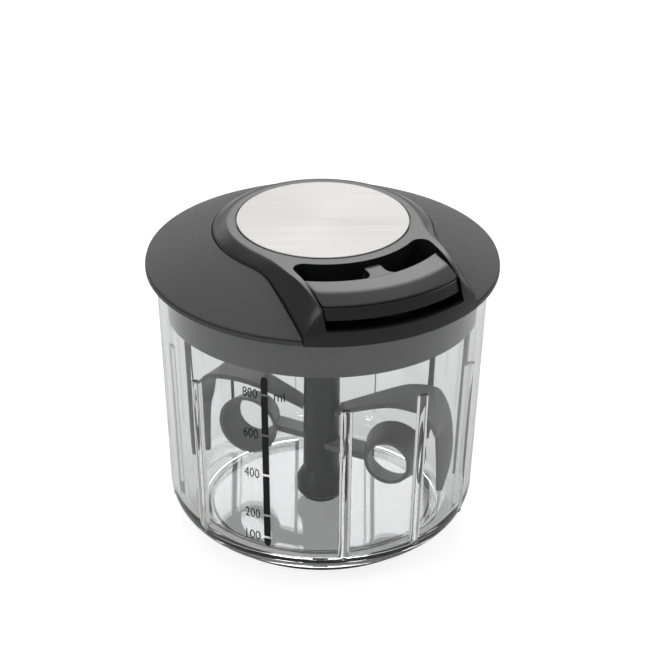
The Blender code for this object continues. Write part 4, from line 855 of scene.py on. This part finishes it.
# %% The steel disc
DISC_RADIUS, DISC_TOP, DISC_UNDER = 33.3, 129.7, 128.9
disc_corners = [(0, DISC_TOP, 0), (DISC_RADIUS, DISC_TOP, 0.3), (DISC_RADIUS, DISC_UNDER, 0),
                (0, DISC_UNDER, 0)]
disc = spun(rounded(disc_corners[::-1]), steps=240)
finished("top_disc", disc, brushed, "lid", ["steel_disc"])

# %% [markdown]
# ## The cord and its eyelet
# The cord leaves the spool, passes the eyelet and ends in a knot inside the handle. When
# the handle is pulled, the stretch between the eyelet and the handle is drawn out. It is
# a tube with many rings from the eyelet on.

# %% The cord
CORD_RADIUS, CORD_SIDES, STRETCH_START, STRETCH_STEP = 0.8, 12, 34.2, 0.35
STRETCH_RINGS, STRETCH_FROM, STRETCH_TO = 50, 39.0, 43.0
route = [(-11.1, 14.9), (-9.0, 20.4), (-3.0, 29.5), (CORD_ASIDE, GUIDE_START)]
route += [(CORD_ASIDE, STRETCH_START + STRETCH_STEP * i) for i in range(STRETCH_RINGS)]
turns = [math.radians(360 / CORD_SIDES * k) for k in range(CORD_SIDES)]
rings = []
for index, (aside, ahead) in enumerate(route):
    after, before = route[min(index + 1, len(route) - 1)], route[max(index - 1, 0)]
    along = Vector((after[0] - before[0], before[1] - after[1], 0)).normalized()
    across = along.cross(UP)
    centre = Vector((aside, -ahead, CORD_Z))
    ring = [centre + (across * math.cos(a) + UP * math.sin(a)) * CORD_RADIUS for a in turns]
    rings.append([LID_TURN @ (point * MM) for point in ring])
cord_mesh = bpy.data.meshes.new("cord_run")
cord_bm = bridged(rings)
cord_bm.to_mesh(cord_mesh)
cord_bm.free()
cord_mesh.shade_smooth()
cord_mesh.materials.append(cord_black)
cord = bpy.data.objects.new("cord_run", cord_mesh)
scene.collection.objects.link(cord)
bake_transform(cord)
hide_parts("pull_cord")
print("cord:", len(route), "rings")

# %% [markdown]
# ## Finishes on the pieces that stay as they are
# Screws, the spool, the spring and the other inner pieces are seen only from below, in
# the gap behind the handle or with the lid off. Their CAD shapes are enough, and they
# get the finish of what they are made of.

# %% Finish the inner pieces
inner = {
    steel: ["pivot_pin", "spool_axle", "spool_clip", "axle_screw", "cord_guide",
            "recoil_spring", "housing_screw_1", "housing_screw_2", "housing_screw_3",
            "housing_screw_4", "handle_screw_left", "handle_screw_right"],
    inner_white: ["coupling_bush", "drive_coupling", "cord_spool", "clutch_plate"],
    cord_black: ["cord_winding", "cord_knot"],
    silicone: ["seal_ring"],
}
for material, names in inner.items():
    for name in names:
        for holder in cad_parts[name].material_slots:
            holder.material = material
    print(material.name, "on", len(names), "pieces")

# %% [markdown]
# ## What each kind of ray sees
# The photograph is taken on plain white. A Light Path node tells a shader what kind of
# ray has arrived, so the camera can see a white floor and surroundings while the
# chopper is lit at a plain level. A sheet that glows a little and is also diffuse looks
# white and still takes the shadow.

# %% Helpers for the floor and the world
def grey_node(owner, kind, grey, **values):
    """A shader node of one grey, with its other sockets set by name."""
    node = add_node(owner, kind)
    node.inputs["Color"].default_value = (grey, grey, grey, 1)
    for socket, value in values.items():
        node.inputs[socket].default_value = value
    return node


def glowing_sheet(owner, glow, grey):
    """A diffuse grey with a glow added."""
    both = add_node(owner, "ShaderNodeAddShader")
    diffuse = grey_node(owner, "ShaderNodeBsdfDiffuse", grey)
    emission = grey_node(owner, "ShaderNodeEmission", 1, Strength=glow)
    owner.node_tree.links.new(diffuse.outputs["BSDF"], both.inputs[0])
    owner.node_tree.links.new(emission.outputs["Emission"], both.inputs[1])
    return both.outputs["Shader"]


def shown_to(owner, ray, shown, otherwise):
    """One shader for a kind of ray, and another for all the rest."""
    choice = add_node(owner, "ShaderNodeMixShader")
    path = add_node(owner, "ShaderNodeLightPath")
    owner.node_tree.links.new(path.outputs[ray], choice.inputs["Fac"])
    owner.node_tree.links.new(otherwise, choice.inputs[1])
    owner.node_tree.links.new(shown, choice.inputs[2])
    return choice.outputs["Shader"]


# %% [markdown]
# ## The floor
# The camera sees the floor white. Rays that have passed through the clear jar see a
# dimmer sheet, a painted shade for the shadow under the jar, because the photograph's jar
# looks grey inside. All other rays, also the reflections in glass and steel, see plain
# grey: a white floor would mirror in the jar's wall and veil the dark insert behind it.

# %% The floor
FLOOR_HALF, FLOOR_GREY = 4.0, 0.64
SEEN_GLOW, SEEN_GREY = 0.82, 0.3
# The lower glow seen through the jar is painted shade under the jar.
THROUGH_SHADE_GLOW, THROUGH_GREY = 0.27, 0.44
floor_bm = bmesh.new()
bmesh.ops.create_grid(floor_bm, x_segments=8, y_segments=8, size=FLOOR_HALF)
floor = plain("floor", floor_bm)

pale, sheet = new_finish("pale floor", (FLOOR_GREY,) * 3, 0.9, gloss=0.0)
seen = shown_to(pale, "Is Transmission Ray", glowing_sheet(pale, THROUGH_SHADE_GLOW, THROUGH_GREY),
                sheet.outputs["BSDF"])
seen = shown_to(pale, "Is Camera Ray", glowing_sheet(pale, SEEN_GLOW, SEEN_GREY), seen)
floor_out = pale.node_tree.nodes["Material Output"]
pale.node_tree.links.new(seen, floor_out.inputs["Surface"])
floor.data.materials.append(pale)
print("floor:", len(pale.node_tree.nodes), "nodes")

# %% [markdown]
# ## The lamps
# A large soft lamp hangs behind the chopper at the height where the flat tops mirror it.
# Two weaker ones beside it do the same for the sloping sides of the cover, and a higher
# one for the handle. The rest fill in from above and from the sides.

# %% The lamps
LAMP_AIM = Vector((0, 0, 0.08))


def soft_lamp(name, place, size, power):
    """A rectangular area lamp that points at the chopper."""
    data = bpy.data.lights.new(name, "AREA")
    data.shape = "RECTANGLE"
    data.size, data.size_y = size
    data.energy = power
    lamp = bpy.data.objects.new(name, data)
    scene.collection.objects.link(lamp)
    lamp.location = place
    lamp.rotation_euler = (LAMP_AIM - lamp.location).to_track_quat("-Z", "Y").to_euler()
    print(name, "of", power, "W")


soft_lamp("lamp_back", (0.0, 2.25, 1.6), (1.5, 1.0), 19)
soft_lamp("lamp_back_left", (-1.25, 2.1, 0.95), (1.2, 0.8), 4)
soft_lamp("lamp_back_right", (1.25, 2.1, 0.95), (1.2, 0.8), 4)
soft_lamp("lamp_high", (0.4, 1.7, 2.0), (0.8, 0.8), 9)
soft_lamp("lamp_top", (-0.6, 0.4, 2.5), (3.0, 3.0), 20)
soft_lamp("lamp_left", (-1.7, -1.2, 1.5), (1.2, 1.2), 15)
soft_lamp("lamp_right", (2.0, 0.4, 1.2), (1.0, 1.0), 11)

# %% [markdown]
# ## The surroundings
# The world is white to the camera and at less than half that strength to every other
# ray, where it only fills the shadows.

# %% The world
WORLD_STRENGTH, WHITE = 0.45, 1.0
world = bpy.data.worlds.new("surroundings")
world.use_nodes = True
sky = world.node_tree.nodes["Background"]
sky.inputs["Color"].default_value = (1, 1, 1, 1)
sky.inputs["Strength"].default_value = WORLD_STRENGTH
bright = grey_node(world, "ShaderNodeBackground", 1, Strength=WHITE)
seen = shown_to(world, "Is Camera Ray", bright.outputs["Background"], sky.outputs["Background"])
world.node_tree.links.new(seen, world.node_tree.nodes["World Output"].inputs["Surface"])
scene.world = world
scene.view_settings.view_transform = "Standard"
print("world:", len(world.node_tree.nodes), "nodes")
